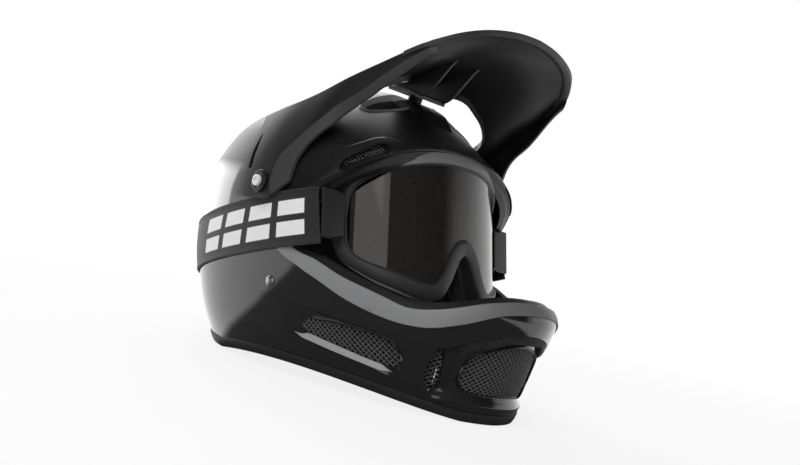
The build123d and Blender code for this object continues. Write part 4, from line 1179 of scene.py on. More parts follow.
def make_highlight_ledges():
    """A pale grey strip along the lower edge of each cheek vent, a painted highlight in place of the light
    reflected there.
    """
    low = even_line(smooth_line([(-117, 21.0), (-104, 22.9), (-82, 25.6), (-60, 28.2), (-38, 30.8)], 90), 60)
    high = even_line(smooth_line([(-115, 27.6), (-104, 28.6), (-80, 32.0), (-60, 34.6), (-42, 37.0)], 90), 60)
    ends = np.sin(np.linspace(0, math.pi, 60)).clip(0, 0.35)[:, None] / 0.35
    steps = ((0.20, 0.0), (0.24, 0.1), (0.84, 3.85), (0.88, 4.2), (0.86, 5.2), (0.22, 1.4))
    rows = [on_side(low + (high - low) * (0.5 + (share - 0.5) * ends), deep) for share, deep in steps]
    right = smooth_by_angle(loft("ledge_highlight", rows, closed_rows=True), 40)
    return join("vent_highlight_ledges", [right, mirror_of(right, "ledge_highlight")])


def intake_ring(name):
    """A hooded lip over a crown intake."""
    outer = closed_curve(INTAKE, 7, 90)
    middle = outer.mean(axis=0)
    inner = outer + (middle - outer) * 0.24
    span = outer[:, 1].max() - outer[:, 1].min()
    rise = smooth_step((outer[:, 1] - outer[:, 1].min()) / span, 0.25, 1.0) * 1.6

    def at(share, inset, lift):
        flat = outer + (inner - outer) * share
        return on_top(flat, inset) + np.stack(
            [np.zeros(len(outer)), -0.4 * rise * lift, rise * lift], axis=-1
        )

    steps = (
        (-0.04, 2.0, 0.0), (-0.12, -0.2, 0.0), (-0.02, -0.8, 0.55), (0.06, -1.2, 0.95), (0.14, -1.3, 1.0),
        (0.18, -1.0, 0.9), (0.25, 2.8, 0.6), (0.27, 3.2, 0.5), (0.75, 4.6, 0.05), (1.0, 6.0, 0.0),
        (1.0, 9.0, 0.0), (0.3, 8.0, 0.0)
    )
    rows = [at(*s) for s in steps]
    ring = loft(name, rows, closed_rows=True, closed_columns=True)
    mark_rows(ring, rows, [1.0 if 1 <= i <= 6 else 0.0 for i in range(len(rows))])
    return smooth_by_angle(ring, 50)


# Stations of the visor: place along Y, fold, middle of the lower band, foot (each x, z) and crown
VISOR = np.array([
    (-0.369, 0.664, 1.131, 0.670, 1.108, 0.655, 1.081, 1.199),
    (-0.272, 0.689, 1.093, 0.694, 1.064, 0.672, 1.034, 1.178),
    (-0.180, 0.800, 1.008, 0.800, 0.966, 0.774, 0.919, 1.140),
    (-0.104, 0.851, 0.949, 0.862, 0.881, 0.843, 0.805, 1.102),
    (-0.040, 0.889, 0.894, 0.972, 0.729, 1.025, 0.551, 1.072),
    (0.043, 0.925, 0.839, 1.027, 0.678, 1.051, 0.466, 1.068),
    (0.132, 0.925, 0.792, 1.025, 0.661, 1.051, 0.466, 1.050),
]) * np.array([LENGTH, HALF, HEIGHT, HALF, HEIGHT, HALF, HEIGHT, HEIGHT])
# The visor's lower edge in the side view: up the back of the arm, round its foot and forwards
VISOR_BACK = [(44, 192), (38, 180), (36, 165), (34.5, 152), (31, 143.5), (26, 133)]
VISOR_FOOT = [(20, 124.6), (17, 124.2), (-3.3, 126.8), (-8.3, 131.6)]
VISOR_EDGE = [
    (-15.6, 140.5), (-15.6, 145.6), (-15.8, 156), (-20, 169.5), (-27.9, 182.5), (-31.8, 187.6),
    (-38.6, 197.2), (-47, 205.6), (-57.2, 213.1), (-71, 225.4), (-83.5, 237.2), (-96.6, 247.5),
    (-109.3, 254.7),
]
ARM_SLOT = [(29.5, 175), (26.8, 158), (25, 146), (29.4, 144.8), (31.8, 158), (31.0, 172)]
VISOR_PLAN = [(95, -64.6), (90, -80.4), (81, -97.7), (60, -115.6), (30, -123.9), (0, -126.4)]
NOTCH = [
    (17, 7.5), (20, -0.4), (22, -16.5), (34, -29.4), (62, -29.4), (80, -18.7), (88, 5.4), (94, 65.3),
    (0, 65.3), (0, 7.5)
]


def arc_through(a, b, c, shares):
    """Points on the circle through three points in a plane, at shares of the way."""
    a, b, c = (np.asarray(p, float) for p in (a, b, c))
    d = 2 * (a[0] * (b[1] - c[1]) + b[0] * (c[1] - a[1]) + c[0] * (a[1] - b[1]))
    if abs(d) < 1e-6:
        return a + np.outer(shares, c - a)
    ux = ((a @ a) * (b[1] - c[1]) + (b @ b) * (c[1] - a[1]) + (c @ c) * (a[1] - b[1])) / d
    uy = ((a @ a) * (c[0] - b[0]) + (b @ b) * (a[0] - c[0]) + (c @ c) * (b[0] - a[0])) / d
    centre = np.array([ux, uy])
    radius = np.linalg.norm(a - centre)
    start = math.atan2(*(a - centre)[::-1])
    middle = math.atan2(*(b - centre)[::-1])
    end = math.atan2(*(c - centre)[::-1])
    turn = (end - start) % (2 * math.pi)
    if (middle - start) % (2 * math.pi) > turn:
        turn -= 2 * math.pi
    angles = start + turn * np.asarray(shares)
    return centre + radius * np.stack([np.cos(angles), np.sin(angles)], axis=-1)


def visor_station(y):
    """The visor's cross section at a place along it: fold, lower band and foot, and its crown."""
    place = np.clip(y, VISOR[0, 0], VISOR[-1, 0])
    return [float(hermite(place, VISOR[:, 0], VISOR[:, k])) for k in range(1, 8)]


def visor_top(x, y):
    """Height of the visor's upper surface: domed in front, flatter beside the folds behind."""
    fold_x, fold_z, _, _, _, _, crown = visor_station(y)
    rise = crown - fold_z
    x = np.clip(np.abs(np.asarray(x, float)), 0, fold_x)
    radius = (fold_x**2 + rise**2) / (2 * rise)
    domed = crown - radius + np.sqrt(radius**2 - x**2)
    share = 1 - x / fold_x
    flat = fold_z + rise * share**2 * (3 - 2 * share)
    return domed + (flat - domed) * float(smooth_step(y, -112, -78))


def visor_rows(wall):
    """Cross sections of the visor from its front to its back, drawn in by the wall."""
    places = np.concatenate([np.linspace(-142, -40, 70), np.linspace(-38.5, 50, 64)])
    found = []
    for y in places:
        s = visor_station(y)
        fold = (s[0] - wall, s[1] - 0.8 * wall)
        lower = arc_through((s[4] - wall, s[5] - wall), (s[2] - wall, s[3]), fold, np.linspace(0, 1, 40))
        across = fold[0] * np.cos(np.linspace(0, math.pi, 61))
        height = visor_top(across * s[0] / fold[0], y) - wall * (1 - 0.2 * np.abs(across / fold[0]))
        line = np.vstack([lower[:-1], np.stack([across, height], axis=-1), (lower[:-1] * (-1, 1))[::-1]])
        found.append(np.stack([line[:, 0], np.full(len(line), y), line[:, 1]], axis=-1))
    return found


def bevel_edge(visor):
    """Turn in a band along the visor's lower edge and mark it for its painted highlight."""
    line = smooth_line(VISOR_EDGE + [(-140, 272)], 400)
    wide = np.interp(
        line[:, 1], (130, 150, 158, 165, 172, 185, 205, 225, 240, 256),
        (16, 16, 14, 10.5, 8.5, 7, 5.8, 4.8, 4, 3.2)
    )
    tree = KDTree(len(line))
    for i, (y, z) in enumerate(line):
        tree.insert((0, y, z), i)
    tree.balance()
    # painted highlight: positive inside the pale band along the lower edge, -1 above the fold
    highlight_mask = visor.data.attributes.new("band", "FLOAT", "POINT")
    for v in visor.data.vertices:
        x, y, z = v.co / MM
        _, nearest, distance = tree.find((0, y, z))
        fold_x, fold_z = visor_station(y)[:2]
        side = 1.0 if z < fold_z - 0.5 else 0.0
        share = max(1 - distance / wide[nearest], 0.0) * side
        highlight_mask.data[v.index].value = (wide[nearest] - distance) / 4 if side else -1.0
        v.co.x -= math.copysign(min(0.32 * wide[nearest], 1.9) * share, x) * MM
    return visor


# Wall of the visor and the sizes of its centre guide: section as (x, radius) about the pivot
VISOR_WALL = 2.6
GUIDE_SECTION = ((-17, 101), (-17, 103.6), (-16.6, 104), (16.6, 104), (17, 103.6), (17, 101))
GUIDE_SLOT_HALF = 3.1
RIB_HALF = 1.2


def make_visor():
    """The visor's skin, cut to its outlines and notched, with its lower edge bevelled."""
    outer, inner = visor_rows(0.0), visor_rows(VISOR_WALL)
    rows = [np.vstack([a, b[::-1]]) for a, b in zip(outer, inner)]
    skin = loft("visor_skin", rows, closed_columns=True, caps=True)
    side = np.vstack([smooth_line(VISOR_BACK + VISOR_FOOT, 80), smooth_line(VISOR_EDGE, 120)])
    side = np.vstack([side, [(-175, 254.7), (-175, 330), (60, 330), (52, 205)]])
    cut(skin, [side_prism("visor_side", side, -200, 200)], "INTERSECT")
    plan = smooth_line(VISOR_PLAN, 40)
    plan = np.vstack(
        [plan, (plan[:-1] * (-1, 1))[::-1], [(-160, -64.6), (-160, 90), (160, 90), (160, -64.6)]]
    )
    cut(skin, [top_prism("visor_plan", plan, 60, 330)], "INTERSECT")
    spaces = []
    for sign in (1, -1):
        outline = rounded(np.array(NOTCH) * (sign, 1), 9, 8)
        spaces.append(top_prism("notch", outline, 60, 330))
        slot = rounded(ARM_SLOT, 1.5, 4)
        spaces.append(side_prism("arm_slot", slot, sign * 90, sign * 150))
    cut(skin, spaces)
    return bevel_edge(skin)


def center_guide():
    """The slotted strip that the centre screw holds, and the two ribs that carry it."""
    turns = np.radians(np.linspace(-0.5, 19.8, 28))
    rows = []
    for turn in turns:
        ahead = np.array([-math.sin(turn), math.cos(turn)])
        rows.append(np.array([(x, *(np.array(PIVOT) + ahead * radius)) for x, radius in GUIDE_SECTION]))
    strip = loft("visor_guide", rows, closed_columns=True, caps=True)
    ends = [PIVOT[0] - GUIDE_TOP * math.sin(math.radians(CENTER_ANGLE + t)) for t in (-8.0, 8.0)]
    half = GUIDE_SLOT_HALF
    outline = rounded([(-half, ends[0]), (half, ends[0]), (half, ends[1]), (-half, ends[1])], 3.0, 6)
    cut(strip, [top_prism("guide_slot", outline, 200, 280)])
    parts = [smooth_by_angle(strip, 35)]
    arc = np.array(PIVOT) + 103.0 * np.stack([-np.sin(turns), np.cos(turns)], axis=-1)
    for x in (-13.0, 13.0):
        ahead = np.linspace(arc[-1, 0], -62, 14)[1:]
        rise = smooth_step(-ahead, -arc[-1, 0], 62)
        front = [
            (y, arc[-1, 1] + (float(visor_top(x, y)) - 2.0 - arc[-1, 1]) * r) for y, r in zip(ahead, rise)
        ]
        back = [(y, float(visor_top(x, y)) - 1.4) for y in np.linspace(-62, arc[0, 0] - 2.5, 24)]
        rib = side_prism("visor_rib", np.vstack([arc, front, back]), x - RIB_HALF, x + RIB_HALF)
        parts.append(soften(rib, 0.4, 2))
    return parts


def visor_extras():
    """The rolled front lip, the hems of the notches, the centre guide and its ribs."""
    parts = center_guide()
    # rolled lip along the front edge, from one fold to the other
    plan = smooth_line(VISOR_PLAN[1:], 60)
    plan = np.vstack([plan, (plan[:-1] * (-1, 1))[::-1]])
    edge = np.array([(x, y, float(visor_top(x, y)) - 1.6) for x, y in plan])
    inner = edge * (0.93, 0.945, 1.0)
    profile = (
        (0.0, 0.9), (-0.006, 0.0), (-0.004, -1.6), (0.02, -2.6), (0.30, -2.9), (0.85, -2.6), (1.0, -1.5),
        (1.0, 0.6)
    )
    rows = [edge + (inner - edge) * share + np.array([0, 0, lift]) for share, lift in profile]
    parts.append(smooth_by_angle(loft("visor_lip", rows, closed_rows=True), 45))
    # hems turned down round the two rear notches
    for sign in (1, -1):
        line = rounded(np.array(NOTCH) * (sign, 1), 9, 8)
        keep = (line[:, 1] < 44) & (np.abs(line[:, 0]) > 16)
        line = even_line(line[keep], 70)
        top = np.array([(x, y, float(visor_top(x, y)) - 0.4) for x, y in line])
        ahead = np.gradient(top, axis=0)
        out = np.stack([ahead[:, 1], -ahead[:, 0], np.zeros(len(top))], axis=-1)
        out /= np.linalg.norm(out, axis=1, keepdims=True)
        if out[30, 1] > 0:
            out = -out
        steps = ((0.0, 0.4), (0.0, -5.6), (1.0, -6.3), (2.1, -5.6), (2.1, 0.2))
        rows = [top + out * side + np.array([0, 0, lift]) for side, lift in steps]
        parts.append(smooth_by_angle(loft("visor_hem", rows, closed_rows=True), 40))
    return parts


def lathe(name, profile, origin, axis, sides=48):
    """A round piece turned from a profile of (radius, height) along an axis."""
    along = Vector(axis).normalized()
    across = along.orthogonal().normalized()
    other = along.cross(across)
    turns = np.arange(sides) * 2 * math.pi / sides
    rows = []
    for radius, height in profile:
        ring = np.array(origin, float) + np.outer(np.cos(turns), across) * radius
        ring = ring + np.outer(np.sin(turns), other) * radius
        rows.append(ring + np.array(along) * height)
    return smooth_by_angle(loft(name, rows, closed_columns=True, caps=True), 35)


PIVOT = (0.028 * LENGTH, 0.579 * HEIGHT)
SEAT = HALF + 3.2
CENTER_ANGLE = 9.5
GUIDE_TOP = 104.05
# The visor's arm over its seat: its play and its wall, then the pivot screw's head over the washer
ARM_PLAY = 0.4
ARM_WALL = 3.2
HEAD_RISE = 1.45
# Where the chin strap's rivets and webbing lie along the helmet
ANCHOR_Y = -0.032 * LENGTH
# Pieces turned from (radius, height) profiles
WASHER = ((8.7, 0.0), (8.7, 0.7), (8.3, 1.2), (7.6, 1.4), (6.0, 1.4), (5.6, 1.1), (4.7, 1.0))
RIVET = (
    (1.9, -6.5), (1.9, -0.5), (4.3, -0.3), (4.3, 0.25), (4.0, 0.75), (3.3, 1.3), (2.2, 1.65), (1.0, 1.8),
    (0.3, 1.82),
)
FLANGE = ((2.6, 0.0), (6.3, 0.0), (6.5, 0.25), (6.4, 0.8), (5.9, 1.0), (2.6, 1.0))
# Screws: head radius, head height, socket radius and shank length
PIVOT_SCREW = (4.4, 2.6, 2.4, 14.0)
CENTER_SCREW = (4.8, 3.0, 2.1, 16.0)


def socket_screw(name, origin, axis, radius, height, hex_radius, length):
    """A screw head with a rounded edge, a hexagon socket and its shank."""
    profile = (
        (radius * 0.62, -length), (radius * 0.62, 0.0), (radius, 0.0), (radius, height * 0.55),
        (radius * 0.93, height * 0.86), (radius * 0.78, height), (hex_radius * 1.22, height),
        (hex_radius * 1.1, height - 0.25), (0.2, height - 0.25)
    )
    screw = lathe(name, profile, origin, axis, 60)
    deep = 0.6 * height
    space = lathe("hex_space", ((hex_radius, height - deep), (hex_radius, height + 1.0)), origin, axis, 6)
    return smooth_by_angle(cut(screw, [space]), 30)


def make_hardware():
    """Washers, screws, rivets and threaded inserts, as (object, body, slot, node) rows."""
    found = []
    washers, rivets = [], []
    for sign, word in ((-1, "right"), (1, "left")):
        axis = (sign, 0, 0)
        base = SEAT + ARM_PLAY + ARM_WALL
        washers.append(lathe("washer", WASHER, (sign * base, *PIVOT), axis, 60))
        origin = (sign * (base + HEAD_RISE), *PIVOT)
        screw = socket_screw(f"pivot_screw_{word}_visual", origin, axis, *PIVOT_SCREW)
        found.append((screw, f"pivot_screw_{word}", "pivot_head", f"pivot_screw_{word}"))
        spot = np.array([[sign * 110.0, ANCHOR_Y, 0.275 * HEIGHT]])
        spot = snap(spot)[0]
        out = form_normal(spot[None])[0]
        rivets.append(lathe("rivet", RIVET, spot, out, 48))
    found.append((join("pivot_washers_visual", washers), "visor", "washer", "pivot_washers"))
    found.append((join("strap_rivets_visual", rivets), "helmet", "steel", "strap_rivets"))
    turn = math.radians(CENTER_ANGLE)
    axis = (0, -math.sin(turn), math.cos(turn))
    origin = np.array([0, PIVOT[0] - GUIDE_TOP * math.sin(turn), PIVOT[1] + GUIDE_TOP * math.cos(turn)])
    head = socket_screw("center_screw_visual", origin + np.array(axis), axis, *CENTER_SCREW)
    flange = lathe("flange", FLANGE, origin, axis, 60)
    found.append((join("center_screw_visual", [head, flange]), "center_screw", "chrome", "center_screw"))
    return found


# Goggles, in a frame that leans back
LEAN = math.radians(16.0)
LENS_FRONT = np.array([0.0, -0.2549 * LENGTH, 0.576 * HEIGHT])
LENS_UP = np.array([0.0, math.sin(LEAN), math.cos(LEAN)])
LENS_BACK = np.array([0.0, math.cos(LEAN), -math.sin(LEAN)])
LENS_RADIUS = 95.0
LENS_WIDTH = 162.0
LENS_HEIGHT = 97.0
LENS_HALF = [
    (0.000, 0.478), (0.125, 0.470), (0.247, 0.440), (0.355, 0.391), (0.438, 0.324), (0.488, 0.235),
    (0.508, 0.045), (0.508, -0.113), (0.500, -0.244), (0.455, -0.344), (0.398, -0.394), (0.327, -0.441),
    (0.245, -0.493), (0.180, -0.497), (0.130, -0.400), (0.080, -0.220), (0.040, -0.140), (0.000, -0.120),
]
FRAME_HALF = [
    (0.000, 0.575), (0.130, 0.568), (0.247, 0.540), (0.358, 0.495), (0.445, 0.435), (0.500, 0.360),
    (0.528, 0.270), (0.532, 0.045), (0.532, -0.210), (0.510, -0.345), (0.450, -0.450), (0.330, -0.556),
    (0.200, -0.618), (0.145, -0.605), (0.105, -0.520), (0.055, -0.360), (0.025, -0.270), (0.000, -0.240),
]


def goggle_point(flat, deep):
    """Points of the goggles: across and up on the curved lens, and how deep behind its face."""
    flat = np.asarray(flat, float)
    turn = np.arcsin(np.clip(flat[:, 0] / LENS_RADIUS, -0.98, 0.98))
    radius = LENS_RADIUS - np.asarray(deep, float)
    side = radius * np.sin(turn)
    behind = LENS_RADIUS - radius * np.cos(turn)
    face = LENS_FRONT + np.outer(side, (1, 0, 0)) + np.outer(flat[:, 1], LENS_UP)
    return face + np.outer(behind, LENS_BACK)


def goggle_loop(half, count=130):
    """A closed outline of the goggles from its half, in millimetres."""
    line = even_line(smooth_line(np.array(half) * (LENS_WIDTH, LENS_HEIGHT), 8 * count), count)
    return np.vstack([line, (line[1:-1] * (-1, 1))[::-1]])


def drawn_in(loop, amount):
    """A flat closed loop moved inwards by an amount."""
    ahead = np.roll(loop, -1, axis=0) - np.roll(loop, 1, axis=0)
    out = np.stack([ahead[:, 1], -ahead[:, 0]], axis=-1)
    out /= np.maximum(np.linalg.norm(out, axis=1, keepdims=True), 1e-9)
    area = np.sum(loop[:, 0] * np.roll(loop[:, 1], -1) - np.roll(loop[:, 0], -1) * loop[:, 1])
    return loop - out * amount * (1 if area > 0 else -1)


def make_lens():
    """The curved lens, thickened inwards."""
    count = 121
    line = smooth_line(np.array(LENS_HALF) * (LENS_WIDTH, LENS_HEIGHT), 900)
    widest = int(np.argmax(line[:, 0]))
    upper, lower = line[: widest + 1], line[widest:]
    reach = line[widest, 0] - 0.15
    across = reach * np.sin(np.linspace(-math.pi / 2, math.pi / 2, count))
    high = np.interp(np.abs(across), upper[:, 0], upper[:, 1])
    low = np.interp(np.abs(across), lower[::-1, 0], lower[::-1, 1])
    rows = []
    for share in np.linspace(0, 1, 19):
        rows.append(goggle_point(np.stack([across, low + (high - low) * share], axis=-1), 0.2))
    lens = loft("goggle_lens_visual", rows)
    bm = bmesh.new()
    bm.from_mesh(lens.data)
    if sum(f.normal.y for f in bm.faces) > 0:
        bmesh.ops.reverse_faces(bm, faces=bm.faces)
    bm.to_mesh(lens.data)
    bm.free()
    apply_modifier(lens, "SOLIDIFY", thickness=1.6 * MM, offset=-1)
    return smooth_by_angle(lens, 50)


def make_goggle_frame():
    """The frame: a broad flat band round the lens, a dark step beside it, and its side wall."""
    lens = drawn_in(goggle_loop(LENS_HALF), 1.6)
    outer = goggle_loop(FRAME_HALF)
    steps = (
        (0.10, 13.0), (0.0, 11.0), (0.0, 1.2), (0.03, -0.2), (0.08, -0.7), (0.40, -1.7), (0.70, -2.4),
        (0.78, -2.3), (0.82, -1.7), (0.86, -0.6), (0.92, -0.5), (0.98, -0.3), (1.0, 0.6), (1.0, 3.0),
        (0.9, 4.5), (0.35, 5.5), (0.25, 13.0)
    )
    rows = [goggle_point(outer + (lens - outer) * share, deep) for share, deep in steps]
    obj = loft("goggle_frame_visual", rows, closed_rows=True, closed_columns=True)
    mark_rows(obj, rows, [1.0 if 3 <= i <= 8 else 0.0 for i in range(len(rows))])
    # painted highlight: the band is paler at the top, where the frame faces the light, and nearly dark below
    for v, highlight_mark in zip(obj.data.vertices, obj.data.attributes["band"].data):
        highlight_mark.value *= 0.15 + 0.85 * float(smooth_step(v.co.z / MM, 138, 165))
    return smooth_by_angle(obj, 34)


def make_goggle_foam():
    """Two layers of foam behind the frame, crowned, with a groove between them."""
    outer = goggle_loop(FRAME_HALF)
    lens = goggle_loop(LENS_HALF)
    steps = (
        (0.10, 13.3), (0.06, 15.0), (0.05, 18.0), (0.08, 20.2), (0.12, 20.8), (0.07, 21.6), (0.08, 25.0),
        (0.16, 27.0), (0.35, 27.8), (0.55, 27.3), (0.66, 25.0), (0.62, 21.6), (0.56, 20.8), (0.60, 20.2),
        (0.62, 16.0), (0.55, 13.3)
    )
    rows = [goggle_point(outer + (lens - outer) * share, deep) for share, deep in steps]
    foam = loft("goggle_foam_visual", rows, closed_rows=True, closed_columns=True)
    return smooth_by_angle(foam, 60)


def make_outrigger(name):
    """The arm that carries the strap off the side of the frame."""
    flat = np.array([(87.5, 43.2), (91, 43.3), (96, 43.6), (101, 44.0), (105.6, 44.4)])
    rows = []
    line = smooth_line(flat, 26)
    for x, deep in line:
        share = (x - 87.5) / 18.1
        high = 16.5 + 2.0 * smooth_step(share, 0, 0.6)
        wall = 1.7 - 0.3 * share
        ring = rounded([(-wall, -high), (wall, -high), (wall, high), (-wall, high)], 1.2, 4)
        along = np.outer(np.full(len(ring), -x), (1, 0, 0))
        rows.append(
            LENS_FRONT + along + np.outer(ring[:, 1], LENS_UP) + np.outer(deep + ring[:, 0], LENS_BACK)
        )
    arm = loft(name, rows, closed_columns=True, caps=True)
    return smooth_by_angle(arm, 40)


# Goggle strap
STRAP_TILT = math.radians(15.5)
STRAP_SLOPE = math.tan(STRAP_TILT)
STRAP_RISE = 0.6
STRAP_WIDTH = 42.0
STRAP_DROP = 2.2


def strap_point(angle, drop, rise):
    """A point on the shell under the strap's plane at a bearing, lifted by a rise."""
    angle = np.asarray(angle, float)
    z = np.full(angle.shape, 120.0)
    for _ in range(30):
        y = form_point(angle, z)[..., 1]
        z = np.clip(0.615 * HEIGHT - (y + 0.132 * LENGTH) * STRAP_SLOPE - drop, 5, 230)
    found = form_point(angle, z)
    return found + form_normal(found) * rise


def make_goggle_strap():
    """The elastic band, edge bound, from one outrigger round the back to the other."""
    wide = STRAP_WIDTH / math.cos(STRAP_TILT)
    count = 260
    probe = np.linspace(-1.2, math.pi + 1.2, 3000)
    line = strap_point(probe, STRAP_DROP + wide / 2, 1.0)
    front = line[:, 1] > -46.5
    probe = probe[front]
    line = line[front]
    runs = run_lengths(line)
    angles = np.interp(np.linspace(0, runs[-1], count), runs, probe)
    along = np.linspace(0, runs[-1], count)
    profile = (
        (0.0, 0.0), (0.0, 1.2), (0.010, 1.75), (0.030, 1.9), (0.048, 1.75), (0.054, 1.5), (0.5, 1.6),
        (0.946, 1.5), (0.952, 1.75), (0.970, 1.9), (0.990, 1.75), (1.0, 1.2), (1.0, 0.0), (0.5, 0.0)
    )
    fine = []
    for (a, h), (b, k) in zip(profile, profile[1:] + profile[:1]):
        steps = max(int(abs(b - a) * 14), 1)
        for n in range(steps):
            fine.append((a + (b - a) * n / steps, h + (k - h) * n / steps))
    rows, places = [], []
    for share, height in fine:
        rows.append(strap_point(angles, np.full(count, STRAP_DROP + wide * share), STRAP_RISE + height))
        places.append(np.stack([along * MM, np.full(count, (0.5 - share) * wide * MM)], axis=-1))
    grid = np.stack(rows, axis=1)
    strap = loft("goggle_strap_visual", list(grid), closed_columns=True, caps=True)
    layer = strap.data.uv_layers.new(name="strap")
    tree = KDTree(grid.reshape(-1, 3).shape[0])
    flat_uv = np.stack(places, axis=1).reshape(-1, 2)
    for i, p in enumerate(grid.reshape(-1, 3) * MM):
        tree.insert(p, i)
    tree.balance()
    near = [tree.find(v.co)[1] for v in strap.data.vertices]
    for loop in strap.data.loops:
        layer.data[loop.index].uv = flat_uv[near[loop.vertex_index]]
    return smooth_by_angle(strap, 50), runs[-1]


# Printed blocks at each temple: where they begin and end from the strap's front end, in metres
BLOCKS = ((0.045, 0.071), (0.0785, 0.1045), (0.112, 0.138))
BLOCK_EDGE = 0.0004


def finish_strap(finish, length, color):
    """Woven elastic, with pale blocks printed in two rows at each temple."""
    uv = finish.node("UVMap", {"uv_map": "strap"})
    split = finish.tree.nodes.new("ShaderNodeSeparateXYZ")
    finish.tree.links.new(uv.socket, split.inputs[0])
    along, across = (Shade(finish.tree, split.outputs[k]) for k in range(2))
    weave, thread = waves(along, 0.0013), waves(across, 0.0011)
    finish.bump(weave * thread, 0.18, 0.8)
    end = length * MM
    near = (along - end / 2).math("ABSOLUTE") * -1.0 + end / 2
    bar = near.step(0.0115, 0.0123) * (1.0 - near.step(0.0375, 0.0383))
    for first, last in BLOCKS:
        begun = near.step(first - BLOCK_EDGE, first + BLOCK_EDGE)
        bar = bar + begun * (1.0 - near.step(last - BLOCK_EDGE, last + BLOCK_EDGE))
    rows = (across.math("ABSOLUTE") * -1.0 + 0.0142).step(0.0, 0.0008)
    gap = across.math("ABSOLUTE").step(0.0021, 0.0029)
    shape = bar * rows * gap
    wear = finish.noise(1.2, 3.0).step(0.22, 0.34)
    base = finish.mix(weave * thread, (0.012, 0.012, 0.013), (0.032, 0.0325, 0.034))
    finish.set("Base Color", finish.mix(shape * (wear * 0.12 + 0.88), base, tuple(color)))
    finish.set("Roughness", shape * -0.25 + 0.78)


def groove(distance, width=1.6, depth=2.2):
    """Depth of a sewn groove at distances from its line."""
    return depth * np.exp(-((distance / width) ** 2))


def beside(points, distance):
    """How far points lie from the two lines that run beside the middle plane at a distance."""
    return np.abs(np.abs(points[:, 0]) - distance)


def seams(node, points):
    """Depth of the seams sewn into a pad, at its points."""
    if node == "crown_pad":
        return groove(np.minimum(beside(points, 24), beside(points, 58))) + groove(points[:, 1] - 45)
    if node == "brow_pad":
        return groove(beside(points, 22), 1.4, 1.8)
    if node == "neck_roll":
        return groove(points[:, 2] - 25) + groove(beside(points, 40))
    return groove(points[:, 1] + 22) + groove(points[:, 2] - 58)


def pad_of(node, swell, voxel):
    """A padded piece in the space of a plain solid: swollen between its seams."""
    obj = copy_of(nodes[node], node + "_visual")
    obj.parent = None
    for key in list(obj.keys()):
        del obj[key]
    obj.data.materials.clear()
    outwards(obj)
    apply_modifier(obj, "REMESH", mode="VOXEL", voxel_size=voxel * MM)
    apply_modifier(obj, "SMOOTH", factor=0.6, iterations=6)
    mesh = obj.data
    points = np.array([v.co for v in mesh.vertices]) / MM
    normals = np.array([v.normal for v in mesh.vertices])
    points += normals * (swell - seams(node, points))[:, None]
    for v, p in zip(mesh.vertices, points * MM):
        v.co = p
    apply_modifier(obj, "SUBSURF", levels=1, render_levels=1)
    obj.data.shade_smooth()
    return obj


# Every pad: how far it swells and the size of its first mesh
PADS = {
    "crown_pad": (0.6, 3.5),
    "brow_pad": (0.6, 3.0),
    "neck_roll": (0.8, 3.5),
    "cheek_pad_right": (0.7, 3.0),
    "cheek_pad_left": (0.7, 3.0),
}


def make_pads():
    """Every comfort pad, as (object, node) pairs."""
    return [(pad_of(node, *sizes), node) for node, sizes in PADS.items()]


def webbing(name, points, middle_y, width=20.0, wall=2.0):
    """Flat webbing along a path seen from the front (x, z), with rounded edges."""
    line = smooth_line(points, 60)
    path = np.stack([line[:, 0], np.full(len(line), middle_y), line[:, 1]], axis=-1)
    ahead = np.gradient(path, axis=0)
    ahead /= np.linalg.norm(ahead, axis=1, keepdims=True)
    out = np.stack([-ahead[:, 2], np.zeros(len(path)), ahead[:, 0]], axis=-1)
    x, z = width / 2, wall / 2
    ring = rounded([(-x, -z), (x, -z), (x, z), (-x, z)], 0.8, 4)
    rows = [p + np.outer(ring[:, 0], (0, 1, 0)) + np.outer(ring[:, 1], o) for p, o in zip(path, out)]
    return smooth_by_angle(loft(name, rows, closed_columns=True, caps=True), 40), path, out


def stitches(path, out, first, last, wide=7.0):
    """A box of stitches across the webbing."""
    parts = []
    for side in (-wide, wide):
        for k in range(first, last, 3):
            a, b = path[k] + out[k] * 1.1, path[k + 2] + out[k + 2] * 1.1
            line = np.array([a, (a + b) / 2 + out[k] * 0.25, b]) + np.array([0, side, 0])
            parts.append(tube("stitch", line, 0.3, 5))
    return parts


# A sewn loop round a ring's bar, as (radius, half width), and the heights of both bars
LOOP = (
    (1.62, 9.6), (1.62, -9.6), (1.9, -10.0), (2.9, -10.0), (3.15, -9.6), (3.15, 9.6), (2.9, 10.0), (1.9, 10.0)
)
STRAP_LEVEL = 21.24
BAR_SHIFT = 2.7


def make_chin_straps():
    """Both halves of the chin strap, as (object, node) pairs."""
    path = [
        (104.9, 75.0), (103.4, 57.0), (101.0, 40.1), (97.0, 30.0), (90.5, 24.6), (80.0, 21.8), (69.3, 21.2)
    ]
    left, line, out = webbing(
        "chin_strap_left_visual", path + [(58.0, STRAP_LEVEL), (50.2, STRAP_LEVEL)], ANCHOR_Y
    )
    loops = []
    for z in (STRAP_LEVEL - BAR_SHIFT, STRAP_LEVEL + BAR_SHIFT):
        turns = np.linspace(0, 2 * math.pi, 25)[:-1]
        ends = []
        for radius, half in LOOP:
            across = np.full(len(turns), ANCHOR_Y + half)
            ends.append(
                np.stack([47.0 + radius * np.cos(turns), across, z + radius * np.sin(turns)], axis=-1)
            )
        loops.append(smooth_by_angle(loft("loop", ends, closed_rows=True, closed_columns=True), 50))
    sewn = stitches(line, out, 42, 55)
    left = join("chin_strap_left_visual", [left] + loops + sewn)
    right_path = [(-x, z) for x, z in path] + [(-50.0, STRAP_LEVEL), (-30.2, STRAP_LEVEL)]
    right, line, out = webbing("chin_strap_right_visual", right_path, ANCHOR_Y)
    sewn = stitches(line, -out, 50, 57)
    right = join("chin_strap_right_visual", [right] + sewn)
    return [(left, "chin_strap_left"), (right, "chin_strap_right")]


# What the add-on lets a user change


